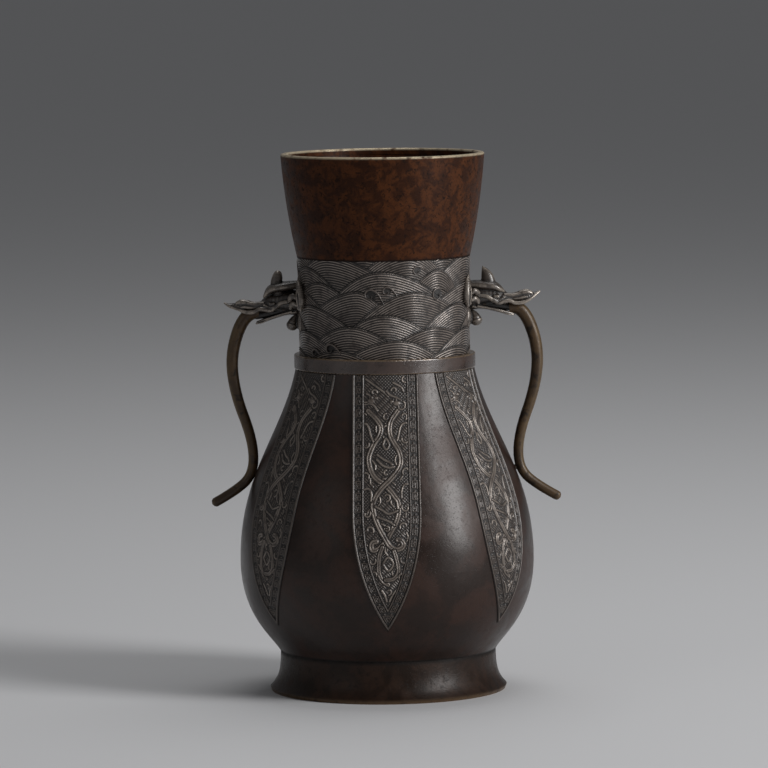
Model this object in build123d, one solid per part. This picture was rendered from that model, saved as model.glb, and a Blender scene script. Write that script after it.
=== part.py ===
"""A bronze hu vase with dragon-mouth handles, put together from separate castings.

The frame is in millimetres: the origin is at the centre of the foot's resting face, +Z runs up the
vase's axis, the handles lie along +X and -X, and the middle front leaf panel faces -Y.
"""

import os
from functools import lru_cache
from math import radians, sin, tan

from build123d import *

# The vase's outline, as heights above the table and outside radii
HEIGHT = 310.0
MOUTH_R = 58.7
MOUTH_BASE_R = 49.8
MOUTH_HOLLOW = 1.1
NECK_TOP = 250.5
NECK_TOP_R = 48.7
NECK_R = 47.8
RING_HEIGHT = 8.4
RING_BOTTOM = 186.3
RING_R = 52.2
SHOULDER_R = 51.5
BELLY_R = 84.8
BELLY_Z = 76.0
BODY_BASE_R = 62.6
FOOT_TOP = 23.5
FOOT_R = 68.4

# How the body's outline leaves its two ends and its widest point
SHOULDER_PULL = 37.0
SHOULDER_SLOPE = 0.2
BELLY_PULL_UP = 50.0
BELLY_PULL_DOWN = 32.0
BASE_PULL = 8.6
BASE_SLOPE = 0.6

# Walls, and the clearance on each side of a joint, which solder fills
FIT = 0.1
BODY_WALL = 3.0
BODY_BASE_WALL = 5.0
NECK_WALL = 2.5
MOUTH_WALL = 3.0
SPIGOT_WALL = 2.0
SPIGOT_LENGTH = 8.0
RING_ROUND = 0.8

# The lip of the mouth, thickened on its inside
LIP_HEIGHT = 3.6
LIP_WALL = 4.2
LIP_ROUND = 1.2

# How far the seam between body and neck lies above the ring's lower edge, behind the ring
SEAM_RISE = 4.2

# The flared foot and the plate that closes it
FOOT_WAIST_R = 62.2
FOOT_FLARE = 5.0
FOOT_EDGE = 2.0
FOOT_EDGE_ROUND = 0.8
FOOT_WALL = 3.1
FOOT_SPIGOT_WALL = 3.5
FOOT_SPIGOT_LENGTH = 5.5
PLATE_Z = 11.5
PLATE_THICKNESS = 2.5

# The wave band on the neck: how far a hill stands out at its crest, how steeply it runs out below that, how
# far down it is rooted and how deep, how much of a flank's fall is in its upper half, and the clearance to
# what sits on the neck
WAVE_PROUD = 0.75
WAVE_SLOPE = 0.0375
WAVE_DEPTH = 30.0
WAVE_ROOT = 1.0
WAVE_BEND = 0.35
WAVE_CLEAR = 1.0

# The hills on the neck's front, which its back repeats: the crest's angle from the front and its height as a
# share of the band's, then how many degrees the left and the right flank run and how far they fall
WAVE_HILLS = [
    (-64, 1.22, (34, 16.6), (36, 16.6)),
    (-14, 1.2, (34, 16.6), (34, 16.6)),
    (44, 1.21, (34, 16.6), (36, 16.6)),
    (104, 1.19, (34, 16.6), (34, 16.6)),
    (16, 1.12, (34, 16.6), (31, 19.9)),
    (-40, 1.05, (36, 16.6), (42, 14.1)),
    (70, 1.04, (36, 14.9), (36, 14.9)),
    (-62, 0.92, (36, 16.6), (31, 14.9)),
    (38, 0.9, (22, 14.6), (22, 16.8)),
    (-3, 0.89, (32, 14.9), (31, 8.3)),
    (-48, 0.77, (36, 14.9), (31, 16.6)),
    (70, 0.74, (38, 12.3), (38, 16.6)),
    (-76, 0.7, (34, 13.3), (34, 13.3)),
    (-18, 0.69, (31, 10.6), (24, 18.3)),
    (19, 0.68, (28, 10.6), (43, 16.1)),
    (57, 0.54, (36, 19.6), (38, 18.3)),
    (-60, 0.53, (34, 14.3), (45, 17.8)),
    (88, 0.47, (31, 14.9), (31, 14.9)),
    (-1, 0.45, (24, 9.0), (38, 15.6)),
    (-24, 0.33, (34, 13.6), (34, 12.8)),
    (35, 0.31, (27, 8.3), (41, 13.3)),
    (70, 0.28, (31, 12.4), (31, 14.1)),
    (-68, 0.26, (34, 13.3), (36, 13.3)),
    (8, 0.19, (39, 12.8), (36, 13.9)),
    (56, 0.1, (36, 11.6), (39, 11.6)),
    (-33, 0.08, (34, 9.1), (28, 9.1)),
    (-86, 0.07, (34, 10.0), (34, 10.0)),
]

# The leaf panels, as the front view of the one that faces -Y
PANEL_HALF_TOP = 18.7
PANEL_HALF_SPRING = 19.8
PANEL_SPRING_Z = 110.0
PANEL_TIP_Z = 42.7
PANEL_ANGLE = 54.0
PANEL_BED = 1.0
PANEL_PROUD = 0.7
PANEL_GROUND = 0.1
PANEL_RIM = 2.2
PANEL_BORDER = 3.6
PANEL_INNER_RIM = 1.5

# The dragon heads: where they meet the neck, their tenons and the washers behind them
HEAD_Z = 227.0
HEAD_TENON_R = 5.0
HEAD_TENON_END = 2.5
WASHER_R = 8.5
WASHER_THICKNESS = 2.0

# The two handles were set by hand: how far each drops, and how far its dragon's nose lifts in degrees
HANDLE_DROP = {"right": -0.8, "left": 0.8}
HEAD_LIFT = {"right": 2.0, "left": -2.0}

# The straps that run from the dragons' mouths down to the body
STRAP_R = 3.4
STRAP_TENON_R = 2.6
STRAP_TENON_LENGTH = 6.0
STRAP_TIP_ROUND = 2.6
STRAP_TOUCH_Z = 127.0
MOUTH_DEPTH = 13.0
MOUTH_DROP = 5.3

# A strap's corners: out from the neck and up from the mouth, then out from the body and up from its touch
STRAP_BOW = [(32.6, 0.0), (41.4, -24.1), (39.4, -47.9)]
STRAP_TAIL = [(0.0, 18.4), (0.0, -1.5), (12.5, -12.0), (24.2, -18.2)]
STRAP_BEND_SHARE = 0.95

# The pins through a strap's tenon and through its touch on the body
JAW_PIN_R = 1.0
JAW_PIN_HALF = 4.0
STRAP_PIN_R = 1.5
STRAP_PIN_HEAD_R = 3.0
STRAP_PIN_HEAD = 1.6

# The studs under the heads
STUD_Z = 212.5
STUD_R = 3.0
STUD_REACH = 5.8
STUD_STEM_R = 2.1
STUD_LEAF = (2.2, 8.0, 4.2)
STUD_LEAF_RISE = 1.2
STUD_TENON_R = 2.5
STUD_TENON_END = 1.5

# A dragon's skull and snout, as sections: distance from the neck, middle, half height, half width
SKULL = [
    (-2.0, 0.5, 8.2, 7.0),
    (9.2, 1.0, 7.7, 7.6),
    (16.5, 1.4, 7.0, 7.0),
    (21.7, -0.6, 3.8, 5.6),
    (25.2, -1.4, 2.9, 4.8),
    (31.2, -0.4, 3.3, 4.4),
    (36.6, 1.4, 2.4, 3.6),
    (43.0, 2.5, 0.6, 0.8),
]
JAW = [
    (3.0, -6.6, 2.6, 5.6),
    (15.2, -8.9, 1.6, 4.6),
    (26.0, -11.0, 0.7, 2.8),
]
HORN = [(12.6, 7.0, 3.6), (12.2, 11.0, 2.7), (9.8, 16.6, 0.7)]
HORN_SPREAD = 3.2

# The rounded features on each side of a dragon's face: middle, then half sizes
FACE = {
    "eye": ((17.2, 5.6, 0.8), (2.2, 2.2, 2.2)),
    "brow": ((14.0, 5.4, 5.4), (6.5, 2.6, 2.2)),
    "nostril": ((34.4, 2.8, 2.4), (2.2, 2.0, 2.0)),
    "cheek": ((5.0, 7.0, 0.0), (3.0, 3.0, 3.0)),
}

# The leaf-shaped ears against the neck, as sections: height, half thickness, half width
EAR = [(-9.0, 0.8, 1.0), (-4.5, 2.4, 3.4), (1.0, 3.0, 4.4), (5.5, 2.2, 3.4), (8.0, 0.8, 1.2)]
EAR_SPREAD = 10.0

# What follows from those sizes
RING_TOP = RING_BOTTOM + RING_HEIGHT
SEAM_Z = RING_BOTTOM + SEAM_RISE
NECK_BORE_R = NECK_R - NECK_WALL
SPIGOT_R = NECK_BORE_R - FIT
SPIGOT_BORE_R = SPIGOT_R - SPIGOT_WALL
SPIGOT_FOOT_Z = SEAM_Z - SPIGOT_LENGTH
FOOT_BORE_R = FOOT_WAIST_R - FOOT_WALL
FOOT_SPIGOT_R = BODY_BASE_R - BODY_BASE_WALL - FIT
FRONT_VIEW = Plane.XZ

# How far each handle is turned about the axis from +X, where it is made
OUTWARD = {"right": 0.0, "left": 180.0}

# Turned faces close on a line midway between two leaf panels, clear of every cut
CLOSING_LINE = Rot(0, 0, PANEL_ANGLE / 2 - 90)


def turned(*edges):
    """A solid of revolution about the vase's axis, from edges drawn as (radius, height)."""
    return revolve(CLOSING_LINE * (FRONT_VIEW * make_face(edges)), Axis.Z)


def tube(outer, inner, bottom, top):
    """A plain tube about the vase's axis."""
    section = Polyline((inner, bottom), (outer, bottom), (outer, top), (inner, top), close=True)
    return turned(*section.edges())


def rod(start, end, radius):
    """A round rod between two points."""
    along = Vector(*end) - Vector(*start)
    return extrude(Plane(origin=start, z_dir=along) * Circle(radius), along.length)


def blob(centre, half_sizes):
    """An ellipsoid."""
    return Pos(*centre) * scale(Sphere(1), by=half_sizes)


def side_section(x, z):
    """A plane square to X, whose own axes are the vase's Y and Z."""
    return Plane(origin=(x, 0, z), x_dir=(0, 1, 0), z_dir=(1, 0, 0))


def body_curves(base_r, belly_r, shoulder_r, shoulder_z):
    """The pear's outline from foot to shoulder, as a curve below the belly and one above it."""
    lower = Bezier(
        (base_r, FOOT_TOP),
        (base_r + BASE_SLOPE * BASE_PULL, FOOT_TOP + BASE_PULL),
        (belly_r, BELLY_Z - BELLY_PULL_DOWN),
        (belly_r, BELLY_Z),
    )
    upper = Bezier(
        (belly_r, BELLY_Z),
        (belly_r, BELLY_Z + BELLY_PULL_UP),
        (shoulder_r + SHOULDER_SLOPE * SHOULDER_PULL, shoulder_z - SHOULDER_PULL),
        (shoulder_r, shoulder_z),
    )
    return lower, upper


def outside_curves(proud=0.0):
    """The body's outer outline, or one that stands proud of it."""
    return body_curves(BODY_BASE_R + proud, BELLY_R + proud, SHOULDER_R + proud, RING_BOTTOM)


def inside_curves():
    """The outline of the body's hollow."""
    return body_curves(BODY_BASE_R - BODY_BASE_WALL, BELLY_R - BODY_WALL, NECK_BORE_R, SPIGOT_FOOT_Z)


def body_skin(inner, outer):
    """A thin skin that follows the body, between two offsets from its outline."""
    near = outside_curves(inner)
    far = outside_curves(outer)
    return turned(*near, *far, Line(near[0] @ 0, far[0] @ 0), Line(near[1] @ 1, far[1] @ 1))


def make_mouth_cup():
    """The flared mouth, with a thick lip and a spigot that fits in the neck."""
    lip_z = HEIGHT - LIP_HEIGHT
    throat_z = NECK_TOP + 2 * MOUTH_WALL
    lean = (MOUTH_R - MOUTH_BASE_R) / (HEIGHT - NECK_TOP)
    wall_r = MOUTH_R - MOUTH_WALL - lean * LIP_HEIGHT
    throat_r = MOUTH_BASE_R - MOUTH_WALL
    outer = SagittaArc((MOUTH_BASE_R, NECK_TOP), (MOUTH_R, HEIGHT), -MOUTH_HOLLOW)
    inner = SagittaArc((throat_r, throat_z), (wall_r, lip_z), -MOUTH_HOLLOW)
    lip = Polyline(
        (MOUTH_R, HEIGHT),
        (MOUTH_R - LIP_WALL, HEIGHT),
        (MOUTH_R - LIP_WALL, lip_z),
        (wall_r, lip_z),
    )
    spigot = Polyline(
        (throat_r, throat_z),
        (SPIGOT_BORE_R, NECK_TOP),
        (SPIGOT_BORE_R, NECK_TOP - SPIGOT_LENGTH),
        (SPIGOT_R, NECK_TOP - SPIGOT_LENGTH),
        (SPIGOT_R, NECK_TOP),
        (MOUTH_BASE_R, NECK_TOP),
    )
    cup = turned(outer, *lip.edges(), inner, *spigot.edges())
    rim = cup.edges().filter_by(GeomType.CIRCLE).group_by(Axis.Z)[-1]
    return fillet(rim, LIP_ROUND)


def neck_line(proud=0.0):
    """The neck's outer outline from the ring up, opening a little towards the mouth."""
    return Line((NECK_R + proud, RING_TOP), (NECK_TOP_R + proud, NECK_TOP))


def make_wave_hill(angle, share, left, right):
    """One hill of the wave band: a wedge that is thickest at its crest and sinks into the neck below it."""
    crest = RING_TOP + share * (NECK_TOP - RING_TOP)
    foot = crest - WAVE_DEPTH
    root = NECK_R - WAVE_ROOT
    crest_r = NECK_R + share * (NECK_TOP_R - NECK_R) + WAVE_PROUD
    foot_r = crest_r - WAVE_DEPTH * (WAVE_SLOPE + (NECK_TOP_R - NECK_R) / (NECK_TOP - RING_TOP))
    edges = []
    for hand, (reach, fall) in ((-1, left), (1, right)):
        end = hand * NECK_R * sin(radians(reach))
        edges += [
            ThreePointArc((0, crest), (end / 2, crest - fall * WAVE_BEND), (end, crest - fall)),
            Line((end, crest - fall), (end, foot)),
            Line((end, foot), (0, foot)),
        ]
    wedge = Polyline((root, foot), (foot_r, foot), (crest_r, crest), (root, crest), close=True)
    return Rot(0, 0, angle) * (through_front(make_face(edges)) & turned(*wedge.edges()))


def make_handle_seats():
    """The room on the neck that stays bare round each dragon's ears and stud."""
    half = EAR_SPREAD + max(wide for _, _, wide in EAR) + WAVE_CLEAR
    _, skull_z, skull_high, _ = SKULL[0]
    seats = []
    for side, turn in OUTWARD.items():
        top = HEAD_Z + skull_z + skull_high + WAVE_CLEAR - HANDLE_DROP[side]
        bottom = STUD_Z - STUD_LEAF[2] - WAVE_CLEAR - HANDLE_DROP[side]
        seat = Pos(NECK_R, 0, (top + bottom) / 2) * Box(NECK_R, 2 * half, top - bottom)
        seats.append(Rot(0, 0, turn) * seat)
    return seats


def make_wave_hills():
    """Every hill of the wave band, cut off at the ring and the mouth and clear of the handles."""
    band = tube(MOUTH_R, NECK_BORE_R, RING_TOP + FIT, NECK_TOP)
    seats = make_handle_seats()
    front = [make_wave_hill(*row) & band for row in WAVE_HILLS]
    return [Rot(0, 0, turn) * hill - seats for turn in (0, 180) for hill in front]


def make_neck_sleeve():
    """The neck with its wave band, a spigot at its foot and holes for the handles' tenons."""
    rest = Polyline(
        (NECK_TOP_R, NECK_TOP),
        (NECK_BORE_R, NECK_TOP),
        (NECK_BORE_R, SEAM_Z + SPIGOT_WALL + NECK_WALL),
        (SPIGOT_BORE_R, SEAM_Z + NECK_WALL),
        (SPIGOT_BORE_R, SPIGOT_FOOT_Z),
        (SPIGOT_R, SPIGOT_FOOT_Z),
        (SPIGOT_R, SEAM_Z),
        (NECK_R, SEAM_Z),
        (NECK_R, RING_TOP),
    )
    sleeve = turned(neck_line(), *rest.edges()) + make_wave_hills()
    for side, turn in OUTWARD.items():
        for z, radius in ((HEAD_Z, HEAD_TENON_R), (STUD_Z, STUD_TENON_R)):
            hole_z = z - HANDLE_DROP[side]
            sleeve -= Rot(0, 0, turn) * rod((0, 0, hole_z), (MOUTH_R, 0, hole_z), radius + FIT)
    return sleeve


def make_neck_ring():
    """The plain band that covers the seam between neck and body."""
    band = tube(RING_R, NECK_R + FIT, RING_BOTTOM, RING_TOP)
    outer_edges = band.edges().filter_by(GeomType.CIRCLE).sort_by(SortBy.RADIUS)[-2:]
    return fillet(outer_edges, RING_ROUND)


def leaf_outline(inset):
    """The leaf's outline as a face in the front view, its sides taken in by inset.

    The top runs up to the ring, under which the rims end.
    """
    top_z = RING_BOTTOM - min(inset, FIT)
    half_top = PANEL_HALF_TOP - inset
    half_spring = PANEL_HALF_SPRING - inset
    tip_z = PANEL_TIP_Z + inset * (PANEL_SPRING_Z - PANEL_TIP_Z) / PANEL_HALF_SPRING
    edges = []
    for side in (1, -1):
        edges += [
            Line((0, top_z), (side * half_top, top_z)),
            Line((side * half_top, top_z), (side * half_spring, PANEL_SPRING_Z)),
            TangentArc((side * half_spring, PANEL_SPRING_Z), (0, tip_z), tangent=(0, -1)),
        ]
    return make_face(edges)


def through_front(outline):
    """A face of the front view carried out through the front of the body."""
    return extrude(FRONT_VIEW * outline, BELLY_R + BODY_WALL)


def make_leaf_panel():
    """The middle front leaf: a thin plate with a raised rim and a finer inner rim."""
    inner_rim = PANEL_RIM + PANEL_BORDER
    rims = leaf_outline(FIT) - leaf_outline(PANEL_RIM)
    rims += leaf_outline(inner_rim) - leaf_outline(inner_rim + PANEL_INNER_RIM)
    plate = body_skin(FIT - PANEL_BED, PANEL_GROUND) & through_front(leaf_outline(FIT))
    return plate + (body_skin(FIT - PANEL_BED, PANEL_PROUD) & through_front(rims))


def leaf_places():
    """Each leaf panel's name and its turn about the axis from the middle front one."""
    for face, start in (("front", 0.0), ("back", 180.0)):
        yield f"leaf_panel_{face}_left", start - PANEL_ANGLE
        yield f"leaf_panel_{face}_middle", start
        yield f"leaf_panel_{face}_right", start + PANEL_ANGLE


def make_body_shell(pins):
    """The pear-shaped body, open at both ends, with a shallow bed for each leaf and the pins' holes."""
    outer = outside_curves()
    inner = inside_curves()
    collar = Polyline(
        outer[1] @ 1,
        (NECK_R, RING_BOTTOM),
        (NECK_R, SEAM_Z),
        (NECK_BORE_R, SEAM_Z),
        inner[1] @ 1,
    )
    shell = turned(*outer, *collar.edges(), *inner, Line(inner[0] @ 0, outer[0] @ 0))
    bed = body_skin(-PANEL_BED, BODY_WALL) & through_front(leaf_outline(0))
    for _, turn in leaf_places():
        shell -= Rot(0, 0, turn) * bed
    for turn, start, end in pins:
        shell -= Rot(0, 0, turn) * rod(start, end, STRAP_PIN_R + FIT)
    return shell


def make_foot_ring():
    """The flared foot, with a spigot that fits in the body and a ledge for the base plate."""
    ledge_z = PLATE_Z + PLATE_THICKNESS
    spigot_bore_r = FOOT_SPIGOT_R - FOOT_SPIGOT_WALL
    flare = Bezier(
        (FOOT_WAIST_R, FOOT_TOP),
        (FOOT_WAIST_R, FOOT_EDGE + 2 * FOOT_FLARE),
        (FOOT_WAIST_R + (FOOT_R - FOOT_WAIST_R) / FOOT_FLARE, FOOT_EDGE + FOOT_FLARE),
        (FOOT_R, FOOT_EDGE),
    )
    rest = Polyline(
        (FOOT_R, FOOT_EDGE),
        (FOOT_R - FOOT_EDGE_ROUND, 0),
        (FOOT_BORE_R, 0),
        (FOOT_BORE_R, ledge_z),
        (spigot_bore_r, ledge_z),
        (spigot_bore_r, FOOT_TOP + FOOT_SPIGOT_LENGTH),
        (FOOT_SPIGOT_R, FOOT_TOP + FOOT_SPIGOT_LENGTH),
        (FOOT_SPIGOT_R, FOOT_TOP),
        (FOOT_WAIST_R, FOOT_TOP),
    )
    return turned(flare, *rest.edges())


def make_base_plate():
    """The round plate let into the foot from below, which makes the vase hold water."""
    return tube(FOOT_BORE_R - FIT, 0, PLATE_Z, PLATE_Z + PLATE_THICKNESS)


def strap_path(drop, reach):
    """A strap's centre line in the front view: its runs, joined by arcs as wide as they allow.

    The upper points follow the dragon's mouth and the lower ones stand out from the axis by reach.
    Each run is shared between its two corners in proportion to how far they turn.
    """
    mouth_z = HEAD_Z - MOUTH_DROP - drop
    touch_z = STRAP_TOUCH_Z - drop
    points = [Vector(NECK_R + out, mouth_z + up) for out, up in [(MOUTH_DEPTH, 0), *STRAP_BOW]]
    points += [Vector(reach + out, touch_z + up) for out, up in STRAP_TAIL]
    runs = [after - before for before, after in zip(points, points[1:])]
    turns = [before.get_angle(after) for before, after in zip(runs, runs[1:])]
    shares = [0.0, *turns, 0.0]
    radii = []
    for corner, turn in enumerate(turns, start=1):
        before = runs[corner - 1].length * turn / (turn + shares[corner - 1])
        after = runs[corner].length * turn / (turn + shares[corner + 1])
        radii.append(STRAP_BEND_SHARE * min(before, after) / tan(radians(turn / 2)))
    return FilletPolyline(*points, radius=radii)


@lru_cache
def seated_reach(drop):
    """How far out the lower strap stands so that its side just clears the body."""
    outline = outside_curves()[1]
    reach = BELLY_R
    for _ in range(12):
        reach += STRAP_R + FIT - strap_path(drop, reach).distance_to(outline)
    return reach


def strap_solid(side, extra=0.0):
    """A strap with its tenon on the +X side, or with extra all round to cut the room for one."""
    drop = HANDLE_DROP[side]
    path = FRONT_VIEW * strap_path(drop, seated_reach(drop))
    start = path @ 0
    strap = sweep(Plane(origin=start, z_dir=path % 0) * Circle(STRAP_R + extra), path)
    tip = strap.edges().filter_by(GeomType.CIRCLE).sort_by(Axis.Z)[0]
    strap = fillet(tip, STRAP_TIP_ROUND)
    tenon_end = start - Vector(STRAP_TENON_LENGTH + extra, 0, 0)
    return strap + rod(tenon_end, start + Vector(STRAP_R, 0, 0), STRAP_TENON_R + extra)


def strap_pin_line(side):
    """Where a strap pin runs on the +X side: from inside the body to the strap's centre line."""
    drop = HANDLE_DROP[side]
    path = strap_path(drop, seated_reach(drop))
    _, on_strap, on_body = path.distance_to_with_closest_points(outside_curves()[1])
    inward = (on_body - on_strap).normalized()
    inner = on_body + inward * (BODY_WALL + STRAP_PIN_HEAD + FIT)
    return (inner.X, 0, inner.Y), (on_strap.X, 0, on_strap.Y)


def jaw_pin(side, radius, half_length):
    """The cross pin through a dragon's jaw and the strap's tenon, on the +X side."""
    x = NECK_R + MOUTH_DEPTH - STRAP_TENON_LENGTH / 2
    z = HEAD_Z - MOUTH_DROP - HANDLE_DROP[side]
    return rod((x, -half_length, z), (x, half_length, z), radius)


def on_neck(shape):
    """A shape on the +X side, cut to lie on the neck's outside."""
    inside = Polyline((NECK_TOP_R + FIT, NECK_TOP), (0, NECK_TOP), (0, RING_TOP), (NECK_R + FIT, RING_TOP))
    return shape - turned(neck_line(FIT), *inside.edges())


def make_dragon_head(side):
    """A dragon's head on the +X side, open-mouthed round its strap, with a tenon through the neck."""
    skull = loft([side_section(x, z) * Ellipse(wide, high) for x, z, high, wide in SKULL])
    features = [loft([side_section(x, z) * Ellipse(wide, high) for x, z, high, wide in JAW])]
    for hand in (1, -1):
        horn = [Pos(x, hand * HORN_SPREAD, z) * Circle(radius) for x, z, radius in HORN]
        ear = [Pos(0, hand * EAR_SPREAD, z) * Ellipse(thick, wide) for z, thick, wide in EAR]
        features += [loft(horn), loft(ear)]
        for (x, y, z), half_sizes in FACE.values():
            features.append(blob((x, hand * y, z), half_sizes))
    root_z = HEAD_Z - HANDLE_DROP[side]
    lifted = Pos(NECK_R, 0, root_z) * Rot(0, -HEAD_LIFT[side], 0)
    head = on_neck(lifted * (skull + features))
    tenon_x = NECK_BORE_R - WASHER_THICKNESS - HEAD_TENON_END
    head += rod((tenon_x, 0, root_z), (NECK_R + HEAD_TENON_R, 0, root_z), HEAD_TENON_R)
    head -= strap_solid(side, FIT)
    return head - jaw_pin(side, JAW_PIN_R + FIT, JAW_PIN_HALF + FIT)


def make_head_washer(side):
    """The washer inside the neck, on the +X side, over which a head's tenon is hammered."""
    z = HEAD_Z - HANDLE_DROP[side]
    start = (NECK_BORE_R - WASHER_THICKNESS, 0, z)
    end = (NECK_BORE_R, 0, z)
    washer = rod(start, end, WASHER_R) - rod(start, end, HEAD_TENON_R + FIT)
    return washer & tube(NECK_BORE_R - FIT, 0, z - 2 * WASHER_R, z + 2 * WASHER_R)


def make_beard_stud(side):
    """The small knob under a dragon's jaw, on the +X side: a ball on a leaf, with a tenon."""
    z = STUD_Z - HANDLE_DROP[side]
    ball_x = NECK_R + STUD_REACH
    stud = blob((NECK_R, 0, z + STUD_LEAF_RISE), STUD_LEAF)
    stud += rod((NECK_R, 0, z), (ball_x, 0, z), STUD_STEM_R)
    stud += Pos(ball_x, 0, z) * Sphere(STUD_R)
    stud = on_neck(stud)
    return stud + rod((NECK_BORE_R - STUD_TENON_END, 0, z), (NECK_R + STUD_R, 0, z), STUD_TENON_R)


def body_hollow():
    """The space inside the body, as a solid."""
    lower, upper = inside_curves()
    axis = Polyline(lower @ 0, (0, FOOT_TOP), (0, SPIGOT_FOOT_Z), upper @ 1)
    return turned(lower, upper, *axis.edges())


def make_strap_pin(side):
    """The rivet that holds a strap to the body on the +X side, with its head inside."""
    start, end = strap_pin_line(side)
    along = (Vector(*end) - Vector(*start)).normalized()
    head = rod(start, Vector(*start) + along * BODY_WALL, STRAP_PIN_HEAD_R)
    return rod(start, end, STRAP_PIN_R) + (head & body_hollow())


def make_handle_strap(side):
    """A strap on the +X side, with the holes for its two pins."""
    start, end = strap_pin_line(side)
    strap = strap_solid(side) - rod(start, end, STRAP_PIN_R + FIT)
    return strap - jaw_pin(side, JAW_PIN_R + FIT, 2 * STRAP_R)


def pair(make):
    """The right and left of something that is made on the +X side, as a group of two solids."""
    return Compound([Rot(0, 0, turn) * make(side) for side, turn in OUTWARD.items()])


def make_nodes():
    """Every piece of the vase in its place, by name."""
    pins = [(turn, *strap_pin_line(side)) for side, turn in OUTWARD.items()]
    nodes = {
        "foot_ring": make_foot_ring(),
        "base_plate": make_base_plate(),
        "body_shell": make_body_shell(pins),
        "neck_ring": make_neck_ring(),
        "neck_sleeve": make_neck_sleeve(),
        "mouth_cup": make_mouth_cup(),
        "head_washers": pair(make_head_washer),
        "jaw_pins": pair(lambda side: jaw_pin(side, JAW_PIN_R, JAW_PIN_HALF)),
        "strap_pins": pair(make_strap_pin),
    }
    leaf = make_leaf_panel()
    for name, turn in leaf_places():
        nodes[name] = Rot(0, 0, turn) * leaf
    for side, turn in OUTWARD.items():
        nodes[f"dragon_head_{side}"] = Rot(0, 0, turn) * make_dragon_head(side)
        nodes[f"handle_strap_{side}"] = Rot(0, 0, turn) * make_handle_strap(side)
        nodes[f"beard_stud_{side}"] = Rot(0, 0, turn) * make_beard_stud(side)
    return nodes


os.makedirs("parts", exist_ok=True)
for name, shape in make_nodes().items():
    export_step(shape, f"parts/{name}.step")
    print(f"{name}: {len(shape.solids())} solid(s), {shape.volume / 1000:.2f} cm3")
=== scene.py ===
# %% [markdown]
# # A bronze hu vase with dragon-mouth handles
#
# The vase is put together from castings: a flared foot, a pear-shaped body with six leaf panels, a neck with
# a band of waves under a plain mouth, and two handles that dragons hold in their mouths. The turned castings
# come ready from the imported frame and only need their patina. The carved work is plain there, so it is
# modelled here, in the same place and at the same size.

# %% Load the frame
from itertools import product
from math import cos, pi, radians, sin

import bpy
import numpy as np
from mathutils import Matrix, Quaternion, Vector
from mathutils.geometry import interpolate_bezier


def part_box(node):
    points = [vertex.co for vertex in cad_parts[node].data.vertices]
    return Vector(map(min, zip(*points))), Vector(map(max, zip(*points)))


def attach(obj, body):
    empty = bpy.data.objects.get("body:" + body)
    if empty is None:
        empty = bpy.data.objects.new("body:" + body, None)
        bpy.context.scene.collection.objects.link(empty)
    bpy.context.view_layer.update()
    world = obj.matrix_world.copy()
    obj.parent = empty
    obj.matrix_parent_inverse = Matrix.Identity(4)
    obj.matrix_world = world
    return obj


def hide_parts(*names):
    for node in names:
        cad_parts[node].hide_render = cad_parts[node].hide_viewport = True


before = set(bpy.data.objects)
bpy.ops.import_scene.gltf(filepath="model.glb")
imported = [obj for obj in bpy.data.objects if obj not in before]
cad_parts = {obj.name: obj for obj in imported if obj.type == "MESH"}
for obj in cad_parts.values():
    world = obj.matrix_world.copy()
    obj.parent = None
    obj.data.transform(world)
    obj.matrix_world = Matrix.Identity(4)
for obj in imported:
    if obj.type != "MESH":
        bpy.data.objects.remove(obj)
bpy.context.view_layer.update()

MM = 0.001
print("nodes in the frame:", len(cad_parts))

# %% [markdown]
# ## Sizes
#
# Every carved piece sits on a turned one, so what the frame's boxes can tell of the turned ones is read from
# them and not typed again. Sizes are kept in millimetres, the unit in which a founder would think of them,
# and become metres only when a mesh is made.

# %% Sizes read from the frame
def span(node):
    """A node's lowest and highest corner, in millimetres."""
    low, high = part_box(node)
    return low / MM, high / MM


HEIGHT = span("mouth_cup")[1].z
FOOT_TOP = span("body_shell")[0].z
BELLY_R = span("body_shell")[1].x
RING_BOTTOM = span("neck_ring")[0].z
RING_TOP = span("neck_ring")[1].z
NECK_TOP = span("neck_sleeve")[1].z
print(f"height {HEIGHT:.1f} mm, belly radius {BELLY_R:.1f} mm, neck up to {NECK_TOP:.1f} mm")

# %% [markdown]
# ## The camera
#
# A long lens far away keeps the vase's sides almost parallel, as in the photograph. The camera looks down a
# few degrees, so the mouth shows as a thin ellipse, and it is rolled a little, because the vase leans.

# %% Camera
CAMERA_PLACE = Vector((0.0, -3.1, 0.459))
CAMERA_AIM = Vector((-0.0006, 0.0, 0.1765))
CAMERA_ROLL = radians(-0.7)
CAMERA_LENS = 253.0


def placed(name, data):
    """A new object in the scene."""
    made = bpy.data.objects.new(name, data)
    bpy.context.scene.collection.objects.link(made)
    return made


camera = placed("camera", bpy.data.cameras.new("camera"))
camera.data.lens = CAMERA_LENS
camera.location = CAMERA_PLACE
camera.rotation_mode = "QUATERNION"
facing = (CAMERA_AIM - CAMERA_PLACE).to_track_quat("-Z", "Y")
camera.rotation_quaternion = facing @ Quaternion((0, 0, 1), CAMERA_ROLL)
bpy.context.scene.camera = camera
print("camera at", tuple(round(c, 3) for c in camera.location))

# %% [markdown]
# ## Node trees as expressions
#
# Finishes and repeated shapes are both node trees. A socket is wrapped in a small class, so that plain
# arithmetic on it adds Math nodes, and every other node comes from one method that takes its type, its
# settings and what goes into its sockets.

# %% The node writer
def arithmetic(operation, swapped=False):
    """A method that adds a Math node for one of Python's operators."""
    def method(self, other):
        return self.sheet.math(operation, *((other, self) if swapped else (self, other)))
    return method


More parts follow.
